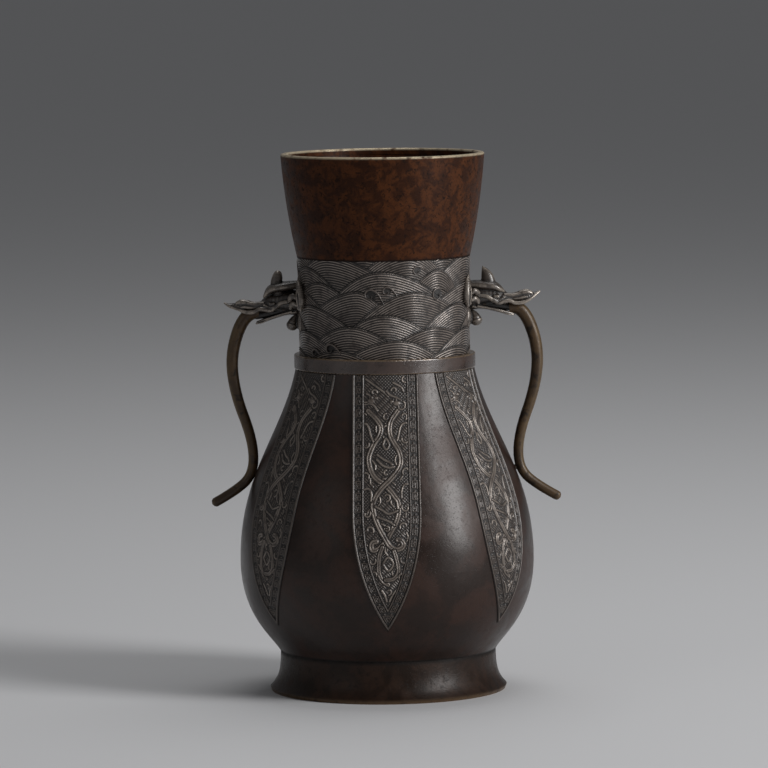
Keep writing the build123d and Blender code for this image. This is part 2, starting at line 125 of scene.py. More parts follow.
class Wire:
    """An output socket of a node tree. Arithmetic on it adds Math nodes."""

    def __init__(self, sheet, socket):
        self.sheet = sheet
        self.socket = socket

    __add__ = __radd__ = arithmetic("ADD")
    __sub__ = arithmetic("SUBTRACT")
    __rsub__ = arithmetic("SUBTRACT", swapped=True)
    __mul__ = __rmul__ = arithmetic("MULTIPLY")
    __truediv__ = arithmetic("DIVIDE")
    __pow__ = arithmetic("POWER")


class Sheet:
    """A node tree that is written in Python."""

    def __init__(self, tree):
        self.tree = tree

    def node(self, kind, sockets=None, out=0, **settings):
        """Add a node: first its settings, then a value or a Wire for each socket. Gives one output."""
        made = self.tree.nodes.new(kind)
        for name, value in settings.items():
            setattr(made, name, value)
        for name, value in (sockets or {}).items():
            if isinstance(value, Wire):
                self.tree.links.new(value.socket, made.inputs[name])
            else:
                made.inputs[name].default_value = value
        return Wire(self, made.outputs[out]) if made.outputs else None

    def math(self, operation, *operands):
        return self.node("ShaderNodeMath", dict(enumerate(operands)), operation=operation)

    def axis(self, vector, letter):
        """One coordinate of a vector."""
        return self.node("ShaderNodeSeparateXYZ", {"Vector": vector}, letter)

    def ease(self, value, low, high):
        """0 up to low, 1 from high on, and a smooth rise between."""
        sockets = {"Value": value, "From Min": low, "From Max": high}
        return self.node("ShaderNodeMapRange", sockets, interpolation_type="SMOOTHSTEP")

    def blend(self, share, first, second):
        """A mix of two colours. The Mix node has its sockets for colours at these numbers."""
        return self.node("ShaderNodeMix", {0: share, 6: first, 7: second}, 2, data_type="RGBA")

    def noise(self, place, size, detail=4.0, roughness=0.55, distortion=0.0):
        """Soft noise with features about size millimetres wide."""
        sockets = {"Vector": place, "Scale": 1 / (size * MM), "Detail": detail}
        sockets |= {"Roughness": roughness, "Distortion": distortion}
        return self.node("ShaderNodeTexNoise", sockets)

    def stored(self, name):
        """A value that a piece's points carry, in a finish."""
        return self.node("ShaderNodeAttribute", out="Fac", attribute_name=name)

    def store(self, geometry, name, value):
        """Geometry with a value stored on its points."""
        sockets = {"Geometry": geometry, "Name": name, "Value": value}
        return self.node("GeometryNodeStoreNamedAttribute", sockets, data_type="FLOAT")


print("node writer ready")

# %% [markdown]
# ## Patinated bronze
#
# Old bronze is brown because its skin has turned to oxide, waxed by many hands. Three things show that it is
# metal and not paint: the colour drifts in clouds and flecks, the skin is thin where it is rubbed, so edges
# turn paler, and dirt stays dark in the hollows. All finishes share one recipe and differ in colours and in
# where they are rubbed and dirty, which each piece tells by its height or by a stored relief value. The dark
# dirt colour also lays painted shade over the wave crests and inside the dragons' mouths.

# %% The bronze recipe
def paint(code):
    """A colour written as #rrggbb, as the linear values that sockets hold."""
    shares = [int(code[start:start + 2], 16) / 255 for start in (1, 3, 5)]
    linear = [s / 12.92 if s <= 0.04045 else ((s + 0.055) / 1.055) ** 2.4 for s in shares]
    return (*linear, 1.0)


# How wide marks are, in millimetres, and between which levels of noise they set in
PIT, PATCH, GRAIN, DENT = 0.8, 5.0, 1.1, 9.0
CLOUD_EDGE, FLECK_EDGE, PIT_EDGE, PATCH_EDGE = (0.40, 0.62), (0.52, 0.68), (0.62, 0.74), (0.25, 0.55)

# How far marks cover the colour, how deep they are and how much bare metal shows
DIRT_AND_SHADE = paint("#0d0907")
PIT_COVER, DIRT_AND_SHADE_COVER = 0.55, 0.85
DENT_DEPTH, PIT_DEPTH = 0.14, 0.04
METAL, RUBBED_METAL = 0.12, 0.30

# How much marks dull the skin and rubbing polishes it, and the wax, which flecks shed
CLOUD_DULL, FLECK_DULL, DIRT_AND_SHADE_DULL, RUB_POLISH = 0.12, 0.16, 0.25, 0.06
WAX_ROUGHNESS, WAX_SHED = 0.25, 0.8


def bronze(
    name, colours, rubbed, dirty_and_shaded, gloss=0.36, cloud=16.0, fleck=2.6, fleck_share=0.6, shine=1.5, wax=0.12,
    grain=0.09, swell=0.0,
):
    """A patina: ground, cloud, fleck and worn colours, with masks for rubbed places and for dirt and painted
    shade.
    """
    ground, drift, spot, worn = (paint(code) for code in colours)
    material = bpy.data.materials.new(name)
    material.use_nodes = True
    material.node_tree.nodes.clear()
    sheet = Sheet(material.node_tree)
    place = sheet.node("ShaderNodeTexCoord", out="Object")
    clouds = sheet.ease(sheet.noise(place, cloud, 5.0, 0.62, 0.5), *CLOUD_EDGE)
    flecks = sheet.ease(sheet.noise(place, fleck, 4.0, 0.6, 0.8), *FLECK_EDGE)
    pits = sheet.ease(sheet.noise(place, PIT, 2.0), *PIT_EDGE)
    rub = rubbed(sheet, place) * sheet.ease(sheet.noise(place, PATCH, 3.0), *PATCH_EDGE)
    # Dirt in hollows, and painted shade where a piece's stored relief calls for it, take the dark colour
    dirt_and_shade = dirty_and_shaded(sheet, place)
    colour = sheet.blend(clouds, ground, drift)
    colour = sheet.blend(flecks * fleck_share, colour, spot)
    colour = sheet.blend(pits * PIT_COVER, colour, DIRT_AND_SHADE)
    colour = sheet.blend(rub, colour, worn)
    colour = sheet.blend(dirt_and_shade * DIRT_AND_SHADE_COVER, colour, DIRT_AND_SHADE)
    height = grain * sheet.noise(place, GRAIN, 4.0, 0.6) + DENT_DEPTH * sheet.noise(place, DENT, 2.0)
    height = height - PIT_DEPTH * pits + swell * sheet.stored("swell")
    dull = CLOUD_DULL * clouds + FLECK_DULL * fleck_share * flecks + DIRT_AND_SHADE_DULL * dirt_and_shade
    shader = sheet.node("ShaderNodeBsdfPrincipled", {
        "Base Color": colour,
        "Metallic": METAL + RUBBED_METAL * rub,
        "Roughness": gloss + dull - RUB_POLISH * rub,
        "IOR": shine,
        "Coat Weight": wax * (1 - WAX_SHED * flecks),
        "Coat Roughness": WAX_ROUGHNESS,
        "Normal": sheet.node("ShaderNodeBump", {"Distance": MM, "Height": height}),
    })
    sheet.node("ShaderNodeOutputMaterial", {"Surface": shader})
    return material


def nowhere(sheet, place):
    """No part of the piece."""
    return 0.0


def heights(*bands):
    """A mask of bands of height, each from where it starts to where it is full, in millimetres."""
    def mask(sheet, place):
        z = sheet.axis(place, "Z")
        return sheet.math("MINIMUM", sum(sheet.ease(z, start * MM, full * MM) for start, full in bands), 1.0)
    return mask


def relief(low, high):
    """A mask of the stored relief value, between two levels."""
    def mask(sheet, place):
        return sheet.ease(sheet.stored("relief"), low, high)
    return mask


print("bronze recipe ready")

# %% [markdown]
# ## The finishes
#
# The mouth is the reddest, the neck and the leaves have grey worn lines over black hollows, the straps are a
# dark olive brown from the hands that held them, and the body between the leaves is dark chocolate.

# %% Finishes
FINISHES = {
    "mouth": bronze(
        "mouth_patina", ("#2d1609", "#472610", "#180c06", "#b5a78e"),
        heights((HEIGHT - 1.6, HEIGHT - 0.4)), heights((NECK_TOP + 1.6, NECK_TOP + 0.2)),
        gloss=0.38, cloud=7.0, fleck=2.2, fleck_share=0.85, shine=1.2, wax=0.04,
    ),
    "wave": bronze(
        "wave_patina", ("#251b15", "#2e231c", "#17100c", "#8d827a"),
        relief(0.40, 1.0), relief(0.55, 0.15), gloss=0.33, cloud=14.0, shine=1.6, swell=2.0,
    ),
    "ring": bronze(
        "ring_patina", ("#27170e", "#342015", "#160c07", "#77644f"),
        heights((RING_TOP - 1.0, RING_TOP - 0.2), (RING_BOTTOM + 0.9, RING_BOTTOM + 0.1)), nowhere,
        gloss=0.22, fleck_share=0.2, shine=1.9, grain=0.03,
    ),
    "body": bronze(
        "body_patina", ("#1f120b", "#2d1a11", "#120905", "#4a382c"),
        nowhere, heights((FOOT_TOP + 1.4, FOOT_TOP)), gloss=0.29, cloud=22.0, fleck_share=0.25, shine=1.38,
        grain=0.03,
    ),
    "leaf": bronze(
        "leaf_patina", ("#281d17", "#32261e", "#17100c", "#7d736a"),
        relief(0.30, 0.85), relief(0.34, 0.10), gloss=0.31, cloud=12.0, shine=1.6,
    ),
    "dragon": bronze(
        "dragon_patina", ("#261e19", "#312822", "#140e0b", "#8c8278"),
        relief(0.56, 0.95), relief(0.42, 0.12), gloss=0.27, cloud=8.0, shine=1.7,
    ),
    "strap": bronze(
        "strap_patina", ("#38291a", "#483620", "#17100a", "#5e4d36"),
        relief(0.60, 0.95), nowhere, gloss=0.36, cloud=9.0, fleck=5.0, fleck_share=0.9, shine=1.4,
    ),
    "foot": bronze(
        "foot_patina", ("#1e130c", "#2a1b12", "#120a06", "#5c4936"),
        heights((3.0, 0.6)), heights((FOOT_TOP - 3.0, FOOT_TOP - 0.4)),
        gloss=0.34, cloud=14.0, shine=1.3, wax=0.06,
    ),
    "inner": bronze(
        "inner_patina", ("#3c2d1e", "#483726", "#231a12", "#6f5c40"), nowhere, nowhere, gloss=0.5,
    ),
}
print("finishes:", ", ".join(FINISHES))

# %% Dress the turned castings
CAST = {
    "mouth_cup": "mouth", "neck_sleeve": "wave", "neck_ring": "ring", "body_shell": "body",
    "foot_ring": "foot", "base_plate": "inner", "head_washers": "inner", "jaw_pins": "inner",
    "strap_pins": "inner",
}
for node, finish in CAST.items():
    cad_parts[node].material_slots[0].material = FINISHES[finish]
print("dressed", len(CAST), "castings")

# %% [markdown]
# ## Making pieces
#
# A carved piece is either worked out point by point with numpy, or grown by a Geometry Nodes tree. Both ways
# end in a plain mesh at the origin, which rides on the vase and stands for the plain solid it covers.

# %% Helpers for pieces
def mesh_from(name, points, faces, **values):
    """A mesh from points in millimetres and faces, with a stored value per point for each name given."""
    mesh = bpy.data.meshes.new(name)
    mesh.from_pydata((np.asarray(points) * MM).tolist(), [], faces)
    for value, numbers in values.items():
        layer = mesh.attributes.new(value, "FLOAT", "POINT")
        layer.data.foreach_set("value", np.asarray(numbers, np.float32))
    mesh.update()
    return mesh


def piece_from(name, mesh, slot, finish, *nodes):
    """Put a finished mesh on the vase, in place of the nodes it stands for."""
    mesh.materials.clear()
    mesh.materials.append(FINISHES[finish])
    mesh.shade_smooth()
    piece = placed(name, mesh)
    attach(piece, "root")
    if nodes:
        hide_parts(*nodes)
    print(f"{name}: {len(mesh.polygons)} faces")


def new_tree(name, **inputs):
    """A geometry tree with named inputs, its sheet and a Wire for each input."""
    tree = bpy.data.node_groups.new(name, "GeometryNodeTree")
    for label, kind in inputs.items():
        tree.interface.new_socket(label, in_out="INPUT", socket_type="NodeSocket" + kind)
    tree.interface.new_socket("Geometry", in_out="OUTPUT", socket_type="NodeSocketGeometry")
    sheet = Sheet(tree)
    source = sheet.node("NodeGroupInput").socket.node
    return sheet, {label: Wire(sheet, source.outputs[label]) for label in inputs}


def end_tree(sheet, geometry, finish):
    """Close a tree: realize, shade smooth, give the finish and put it out."""
    geometry = sheet.node("GeometryNodeRealizeInstances", {"Geometry": geometry})
    geometry = sheet.node("GeometryNodeSetShadeSmooth", {"Geometry": geometry})
    geometry = sheet.node("GeometryNodeSetMaterial", {"Geometry": geometry, "Material": FINISHES[finish]})
    sheet.node("NodeGroupOutput", {"Geometry": geometry})


def grown(sheet, base, **values):
    """The plain mesh that a tree grows on a base mesh, with the named inputs set."""
    holder = placed("holder", base)
    growth = holder.modifiers.new("growth", "NODES")
    growth.node_group = sheet.tree
    for socket in sheet.tree.interface.items_tree:
        if socket.in_out == "INPUT" and socket.name in values:
            growth[socket.identifier] = values[socket.name]
    seen = holder.evaluated_get(bpy.context.evaluated_depsgraph_get())
    mesh = bpy.data.meshes.new_from_object(seen)
    bpy.data.objects.remove(holder)
    return mesh


def wrap(sheet, geometry, turn, radius, z):
    """Lay points round the vase: each at an angle from the front, a radius and a height in millimetres."""
    out = radius * MM
    place = sheet.node("ShaderNodeCombineXYZ", {
        "X": out * sheet.math("SINE", turn),
        "Y": out * sheet.math("COSINE", turn) * -1.0,
        "Z": z * MM,
    })
    return sheet.node("GeometryNodeSetPosition", {"Geometry": geometry, "Position": place})


# Weights of four points for each power of how far a cubic has come from the second to the third
CUBIC = np.array([(0, 2, 0, 0), (-1, 0, 1, 0), (2, -5, 4, -1), (-1, 3, -3, 1)]) / 2


def smooth_line(points, per_run=6):
    """A smooth line through the points, each a row of numbers, with per_run steps between two of them."""
    rows = np.asarray(points, float)
    ends = np.vstack([2 * rows[0] - rows[1], rows, 2 * rows[-1] - rows[-2]])
    powers = (np.arange(per_run)[:, None] / per_run) ** np.arange(4)
    runs = [powers @ CUBIC @ ends[start:start + 4] for start in range(len(rows) - 1)]
    return np.vstack([*runs, rows[-1:]])


print("piece helpers ready")

# %% [markdown]
# ## The wave band
#
# The neck is carved with overlapping hills of water, each ruled with fine lines that follow its crest. The
# neck's solid has the plain hills, so a thin skin over them only has to add the lines. One tree paints the
# hills from the highest to the lowest, each over the ones behind it, on a grid round half the neck, and keeps
# how far below its hill's crest each point lies. The skin is proudest at the crest and sinks on the way down,
# as roof tiles do, and a cosine of that distance draws the lines. The back of the neck repeats the front, so
# the same skin is turned round for it.

# %% The hills
# The neck's radius over the ring and under the mouth, the band's heights and half its angle in degrees
NECK_R, NECK_TOP_R = 47.8, 48.7
BAND_LOW, BAND_HIGH = RING_TOP - 0.4, NECK_TOP - 0.05
BAND_HALF = 90.3

# A flank falls with a power of the share of its run, and stops at a share past its end
FLANK_POWER, FLANK_END = 1.8, 1.7
FAR_OFF = 1000.0

# Each curl of foam: angle from the front, height above the table, size and turn in degrees
FOAM = [
    (22.5, 245, 2.3, 0), (-9, 231.6, 3, -25), (2, 233.8, 2.2, -20), (38, 231, 3.2, 10),
    (-39, 200.4, 2.6, -10), (-54, 197.6, 1.9, 0),
]

# Each hill: its crest's angle from the front, its height as a share of the band's, and for its left and its
# right flank how many degrees it runs and how far it falls
HILLS = [
    (-64, 1.22, 34, 16.6, 36, 16.6), (-14, 1.20, 34, 16.6, 34, 16.6), (44, 1.21, 34, 16.6, 36, 16.6),
    (104, 1.19, 34, 16.6, 34, 16.6), (16, 1.12, 34, 16.6, 31, 19.9), (-40, 1.05, 36, 16.6, 42, 14.1),
    (70, 1.04, 36, 14.9, 36, 14.9), (-62, 0.92, 36, 16.6, 31, 14.9), (38, 0.90, 22, 14.6, 22, 16.8),
    (-3, 0.89, 32, 14.9, 31, 8.3), (-48, 0.77, 36, 14.9, 31, 16.6), (70, 0.74, 38, 12.3, 38, 16.6),
    (-76, 0.70, 34, 13.3, 34, 13.3), (-18, 0.69, 31, 10.6, 24, 18.3), (19, 0.68, 28, 10.6, 43, 16.1),
    (57, 0.54, 36, 19.6, 38, 18.3), (-60, 0.53, 34, 14.3, 45, 17.8), (88, 0.47, 31, 14.9, 31, 14.9),
    (-1, 0.45, 24, 9.0, 38, 15.6), (-24, 0.33, 34, 13.6, 34, 12.8), (35, 0.31, 27, 8.3, 41, 13.3),
    (70, 0.28, 31, 12.4, 31, 14.1), (-68, 0.26, 34, 13.3, 36, 13.3), (8, 0.19, 39, 12.8, 36, 13.9),
    (56, 0.10, 36, 11.6, 39, 11.6), (-33, 0.08, 34, 9.1, 28, 9.1), (-86, 0.07, 34, 10.0, 34, 10.0),
]

# Those that reach into the front half, some of the back too, from the highest to the lowest
front_hills = []
for turn, (angle, share, *flanks) in product((-180, 0, 180), HILLS):
    middle = angle + turn
    if middle - FLANK_END * flanks[0] < BAND_HALF and middle + FLANK_END * flanks[2] > -BAND_HALF:
        front_hills.append((RING_TOP + share * (NECK_TOP - RING_TOP), middle, *flanks))
front_hills.sort(reverse=True)
print("hills in the front half:", len(front_hills))


# %% The tree that carves the waves
WAVE_GRID = {"Columns": 420, "Rows": 225}

# How proud a crest stands, how much the skin sinks in each millimetre below it, the lines' pitch and height,
# and how far a hill swells within how many degrees of its middle
WAVE_RELIEF = {"Proud": 0.85, "Slope": 0.0375, "Pitch": 1.42, "Line": 0.45, "Swell": 0.35, "Dome": 12.0}

# How worn the skin is between lines and at a hill's foot, how much wear the painted shade over a crest keeps,
# and where these set in
BETWEEN_LINES, FOOT_LESS, PAINTED_CREST_SHADE = 0.04, 0.25, 0.15
FOOT_RUN, PAINTED_SHADE_RUN, HOLLOW_EDGE = (3.0, 18.0), (0.1, 1.2), (0.8, 1.1)


def wave_tree():
    """A ruled skin round the front half of the neck."""
    kinds = dict.fromkeys(WAVE_GRID, "Int") | dict.fromkeys(WAVE_RELIEF, "Float")
    sheet, given = new_tree("ruled_waves", **kinds)
    sockets = {"Size X": 2.0, "Size Y": 1.0, "Vertices X": given["Columns"], "Vertices Y": given["Rows"]}
    skin = sheet.node("GeometryNodeMeshGrid", sockets)
    spot = sheet.node("GeometryNodeInputPosition")
    angle = sheet.axis(spot, "X") * BAND_HALF
    z = BAND_LOW + (sheet.axis(spot, "Y") + 0.5) * (BAND_HIGH - BAND_LOW)
    below = above = across = FAR_OFF
    for top, middle, left_run, left_fall, right_run, right_fall in front_hills:
        beside = angle - middle
        rightward = sheet.math("GREATER_THAN", beside, 0.0)
        reach = left_run + (right_run - left_run) * rightward
        fall = left_fall + (right_fall - left_fall) * rightward
        far = sheet.math("ABSOLUTE", beside) / reach
        inside = sheet.math("LESS_THAN", far, FLANK_END)
        depth = top - fall * far ** FLANK_POWER - z
        under = inside * sheet.math("GREATER_THAN", depth, 0.0)
        below = below * (1 - under) + depth * under
        across = across * (1 - under) + beside * under
        gap = FAR_OFF * (1 - inside) - depth
        above = sheet.math("MINIMUM", gap, above) * (1 - under) + FAR_OFF * under
    below = sheet.math("MINIMUM", below, given["Proud"] / given["Slope"])
    line = 0.5 + 0.5 * sheet.math("COSINE", below / given["Pitch"] * (2 * pi))
    for middle, height, size, _ in FOAM:
        away = ((angle - middle) * (NECK_TOP_R * pi / 180)) ** 2 + (z - height) ** 2
        line = line * sheet.ease(away ** 0.5, *(edge * size for edge in HOLLOW_EDGE))
    swell = sheet.math("EXPONENT", (across / given["Dome"]) ** 2 * -1.0)
    rise = given["Proud"] - given["Slope"] * below + given["Line"] * line + given["Swell"] * swell
    worn = (BETWEEN_LINES + (1 - BETWEEN_LINES) * line) * (1 - FOOT_LESS * sheet.ease(below, *FOOT_RUN))
    # Just over the crest of a hill in front the wear is cut, so the dirt colour lays a painted shade there
    worn = worn * (PAINTED_CREST_SHADE + (1 - PAINTED_CREST_SHADE) * sheet.ease(above, *PAINTED_SHADE_RUN))
    skin = sheet.store(sheet.store(skin, "relief", worn), "swell", swell)
    opening = (z - RING_TOP) / (NECK_TOP - RING_TOP)
    radius = NECK_R + (NECK_TOP_R - NECK_R) * opening + rise
    end_tree(sheet, wrap(sheet, skin, angle * (pi / 180), radius, z), "wave")
    return sheet


wave_sheet = wave_tree()
print("nodes in the wave tree:", len(wave_sheet.tree.nodes))


# %% Carve the wave band
def turn_tree(finish):
    """Turns a piece about the vase's axis."""
    sheet, given = new_tree(f"turned_{finish}", Piece="Geometry", Turn="Float")
    turn = sheet.node("ShaderNodeCombineXYZ", {"Z": given["Turn"]})
    turned = sheet.node("GeometryNodeTransform", {"Geometry": given["Piece"], "Rotation": turn})
    end_tree(sheet, turned, finish)
    return sheet


def set_on_neck(name, mesh):
    """Put a piece on the neck's front and, turned round, on its back."""
    for face, turn in (("front", 0.0), ("back", pi)):
        piece_from(f"{name}_{face}", grown(neck_turner, mesh, Turn=turn), "wave_bronze", "wave")


neck_turner = turn_tree("wave")
waves = grown(wave_sheet, bpy.data.meshes.new("wave_base"), **WAVE_GRID, **WAVE_RELIEF)
set_on_neck("wave_hills", waves)

# %% [markdown]
# ### Foam
#
# Where a wave breaks, its crest rolls up into a curl of foam over a smooth hollow. The hook is always the
# same, so it is drawn once, flat, one unit to a millimetre. The tree copies it to each breaking crest with
# its own size and turn, gives it a round body that thins towards both ends, and then bends the flat sheet
# round the neck, in metres.

# %% Curls of foam on the breaking crests
HOOK = [
    (3.2, -0.75), (2.4, -0.1), (1.5, 0.6), (0.6, 0.97), (-0.3, 0.95), (-0.9, 0.45), (-1, -0.25), (-0.6, -0.8),
    (0.05, -0.85), (0.45, -0.45), (0.3, 0),
]
FOAM_BODY = {"Thick": 0.62, "Rise": 0.8}
FOAM_SIDES = 10

# How a curl thickens from its ends to its middle, and how worn it is from its middle outwards
FOAM_END, FOAM_MORE = 0.25, 3.0
FOAM_RUB, FOAM_RUB_OUT = 0.42, 0.35


def foam_tree():
    """Curls of foam, drawn flat and bent round the neck."""
    kinds = {"Spots": "Geometry", "Hook": "Object"} | dict.fromkeys(FOAM_BODY, "Float")
    sheet, given = new_tree("foam_curls", **kinds)
    hook = sheet.node("GeometryNodeObjectInfo", {"Object": given["Hook"]}, "Geometry")
    size, lean = (
        sheet.node("GeometryNodeInputNamedAttribute", {"Name": name}, data_type="FLOAT")
        for name in ("size", "lean")
    )
    lean = sheet.node("ShaderNodeCombineXYZ", {"Z": lean})
    sockets = {"Points": given["Spots"], "Instance": hook, "Rotation": lean, "Scale": size}
    curls = sheet.node("GeometryNodeInstanceOnPoints", sockets)
    curls = sheet.node("GeometryNodeRealizeInstances", {"Geometry": curls})
    along = sheet.node("GeometryNodeSplineParameter", out="Factor")
    thick = given["Thick"] * (FOAM_END + FOAM_MORE * along * (1 - along))
    ring = sheet.node("GeometryNodeCurvePrimitiveCircle", {"Resolution": FOAM_SIDES, "Radius": 1.0})
    sockets = {"Curve": curls, "Profile Curve": ring, "Scale": thick, "Fill Caps": True}
    foam = sheet.node("GeometryNodeCurveToMesh", sockets)
    spot = sheet.node("GeometryNodeInputPosition")
    x, z, out = (sheet.axis(spot, letter) for letter in "XYZ")
    foam = sheet.store(foam, "relief", FOAM_RUB + FOAM_RUB_OUT * out)
    foam = wrap(sheet, foam, x / NECK_TOP_R, NECK_TOP_R + given["Rise"] + out, z)
    end_tree(sheet, foam, "wave")
    return sheet


def curve_from(name, kind, points):
    """A curve object through or near the points, each a row of x, y and z."""
    curve = bpy.data.curves.new(name, "CURVE")
    curve.dimensions = "3D"
    spline = curve.splines.new(kind)
    spline.points.add(len(points) - 1)
    spline.points.foreach_set("co", np.column_stack([points, np.ones(len(points))]).ravel())
    if kind == "NURBS":
        spline.order_u = 3
        spline.use_endpoint_u = True
    return placed(name, curve)


drawn = smooth_line(HOOK)
hook = curve_from("hook", "POLY", np.column_stack([drawn, np.zeros(len(drawn))]))
angles, rises, sizes, leans = np.array(FOAM, float).T
flat = np.column_stack([np.radians(angles) * NECK_TOP_R, rises, np.zeros(len(FOAM))])
spots = mesh_from("foam_spots", flat / MM, [], size=sizes, lean=np.radians(leans))
foam = grown(foam_tree(), spots, Hook=hook, **FOAM_BODY)
bpy.data.objects.remove(hook)
set_on_neck("foam", foam)

# %% [markdown]
# ## The leaf panels
#
# Six pointed leaves hang from the ring, cast in low relief: a round rim, a border of key fret, a second rim,
# and a field where two dragons twist round each other over fine hatching. Relief like this is a height for
# every point of a flat drawing, so it is worked out on a fine grid with numpy and then laid on the body. The
# drawing keeps the unit of the real leaf: x across it and z up the vase, in millimetres.

# %% The body under a leaf, and the leaf's outline
BODY_BASE_R, BODY_BASE_OUT, BODY_BASE_UP = 62.6, 5.16, 8.6
BELLY_Z, BELLY_PULL_DOWN, BELLY_PULL_UP = 76.0, 32.0, 50.0
SHOULDER_R, SHOULDER_OUT, SHOULDER_PULL = 51.5, 7.4, 37.0
LEAF_LOW, LEAF_HIGH = span("leaf_panel_front_middle")
LEAF_SPRING_Z = 110.0
LEAF_HALF_TOP = 18.6

# The body's outline, as in its solid: two curves that meet at the belly, and how far they are pulled
BODY_STEPS = 240
BODY_LINE = np.vstack([
    interpolate_bezier(*map(Vector, corners), BODY_STEPS) for corners in (
        (
            (BODY_BASE_R, FOOT_TOP), (BODY_BASE_R + BODY_BASE_OUT, FOOT_TOP + BODY_BASE_UP),
            (BELLY_R, BELLY_Z - BELLY_PULL_DOWN), (BELLY_R, BELLY_Z),
        ), (
            (BELLY_R, BELLY_Z), (BELLY_R, BELLY_Z + BELLY_PULL_UP),
            (SHOULDER_R + SHOULDER_OUT, RING_BOTTOM - SHOULDER_PULL), (SHOULDER_R, RING_BOTTOM),
        ),
    )
])


def body_r(z):
    """The body's outer radius at a height."""
    return np.interp(z, BODY_LINE[:, 1], BODY_LINE[:, 0])


def leaf_half(z):
    """Half the leaf's width at a height: straight sides above the spring, arcs to the tip below it."""
    half, rise = LEAF_HIGH.x, LEAF_SPRING_Z - LEAF_LOW.z
    arc = (rise**2 + half**2) / (2 * half)
    below = np.clip(LEAF_SPRING_Z - z, 0, rise)
    taper = (half - LEAF_HALF_TOP) * np.clip((z - LEAF_SPRING_Z) / (LEAF_HIGH.z - LEAF_SPRING_Z), 0, 1)
    return half - arc + np.sqrt(arc**2 - below**2) - taper


print(f"leaf: {LEAF_HIGH.x * 2:.1f} mm wide, {LEAF_HIGH.z - LEAF_LOW.z:.1f} mm long")

# %% [markdown]
# ### The drawing in the field
#
# The two stems cross twice and end in curls. Each is a smooth line through a few points. Curls and small
# leaves fill the room beside them, each given by its middle, its size, where it starts and how far it turns.

# %% Stems, curls and faces
STEMS = [
    [(-9.8, 166.4), (-6.3, 163.1), (-3.4, 159.3), (-2.7, 156.4), (-3.9, 152.6), (-6.3, 149.2), (-8.3, 145.5),
     (-9.8, 141.2), (-9.5, 136.9), (-7.8, 132.2), (-4.9, 128.9), (-1.5, 126.6), (1.5, 123.7), (4.4, 120),
     (6.5, 116.8), (6.8, 111.5), (5.1, 105.6), (2.2, 100.3), (-0.5, 95.5), (-2.7, 92.9), (-5.4, 90.8),
     (-8.1, 90.2), (-8.9, 92.4), (-8.1, 94.5), (-6, 95)],
    [(6.8, 166.4), (3.4, 161.7), (2.2, 157.9), (2.4, 153.6), (4.4, 149.2), (6.8, 145.5), (8.3, 140.7),
     (7.8, 136.5), (5.4, 132.7), (2, 128.9), (-2.4, 124.7), (-5.4, 120.9), (-7.6, 116.2), (-7.6, 112.5),
     (-6.5, 107.8), (-4.3, 102.5), (-0.5, 95.5), (1.6, 92.4), (4.9, 90.5), (8.1, 91.3), (9.2, 93.4),
     (7.8, 95.5), (6, 96)],
]
TAILS = [
    [(-2.7, 91.8), (-4.3, 87.6), (-4.9, 82.2), (-4.6, 76.7), (-2.7, 72.8), (0.4, 70.6)],
    [(3.8, 89.7), (5.1, 85.4), (6, 81.1), (6, 77.3), (3.2, 73.9), (-1.1, 73.4)],
]
TENDRILS = [
    [(-13.2, 159.3), (-10.7, 159.3), (-9.3, 156.4), (-8.5, 153), (-7.1, 149.7)],
    [(12.4, 159.8), (9.6, 159.2), (8, 156.9), (7.3, 153.6), (6.4, 150.4)],
    [(-4.9, 142.6), (-1, 139.8), (2, 138.4), (4.4, 136)],
    [(-5.2, 140), (-2, 136.8), (1.6, 135.6), (4.4, 136)],
    [(-12.7, 123.7), (-10.2, 124.2), (-8.5, 121.8), (-8.8, 117.5)],
    [(12.2, 126.6), (9.8, 126), (8.6, 123), (8.4, 119.2)],
    [(-6.5, 114.6), (-2.7, 112.5), (1.1, 110.4), (6, 112)],
    [(-5, 108.6), (-1.8, 107.4), (1.6, 106), (4.2, 104)],
    [(-10.7, 184), (-4.9, 179.8), (-1, 176.9), (1.5, 174.6)],
    [(4.4, 182), (8.8, 179.5), (10.2, 177)],
    [(0.5, 177.3), (2.9, 175), (6.8, 173.4), (9.8, 171.4)],
    [(-12, 170), (-9, 170.6), (-6.4, 169.4), (-4.6, 166.6)],
    [(-1.8, 148), (0, 145.4), (1.8, 148), (0, 151.4), (-1.8, 148)],
    [(-2.6, 82.4), (0.4, 86.2), (3.4, 82.6), (0.6, 78.6), (-2.6, 82.4)],
    [(-3.4, 67.4), (-1.6, 64.6), (-0.5, 61)],
    [(4.4, 67), (2.6, 64.6), (1, 61)],
]
CURLS = [
    (-10.9, 174.2, 2.5, 200, 430), (8.6, 169, 2, 60, -420), (10.2, 163.4, 1.5, 300, 380),
    (-11.6, 163.8, 1.4, 250, -380), (11.2, 150.6, 1.6, 160, 400), (-11.6, 148, 1.5, 20, -400),
    (11.4, 133.4, 1.7, 220, -400), (-11.8, 131.2, 1.6, 320, 400), (10.8, 113.6, 1.7, 150, 400),
    (-11.2, 110.4, 1.6, 30, -400), (9.6, 103.4, 1.7, 210, -400), (-9.8, 101.4, 1.7, 330, 400),
    (9.6, 84.4, 1.6, 150, 400), (-8.6, 84, 1.6, 30, -400), (-7.8, 76.6, 1.3, 330, 400),
    (8.2, 75.4, 1.3, 210, -400), (0, 119.6, 1.7, 270, 420), (0, 101.8, 1.2, 90, -400),
    (0.4, 163, 1.4, 90, 400), (-6.4, 176.6, 1.3, 0, 400), (5, 177.8, 1.2, 180, -400),
    (0.6, 66.6, 1.3, 270, 400), (0, 132.6, 1.1, 90, 400), (11.4, 183.4, 1.5, 120, 400),
]

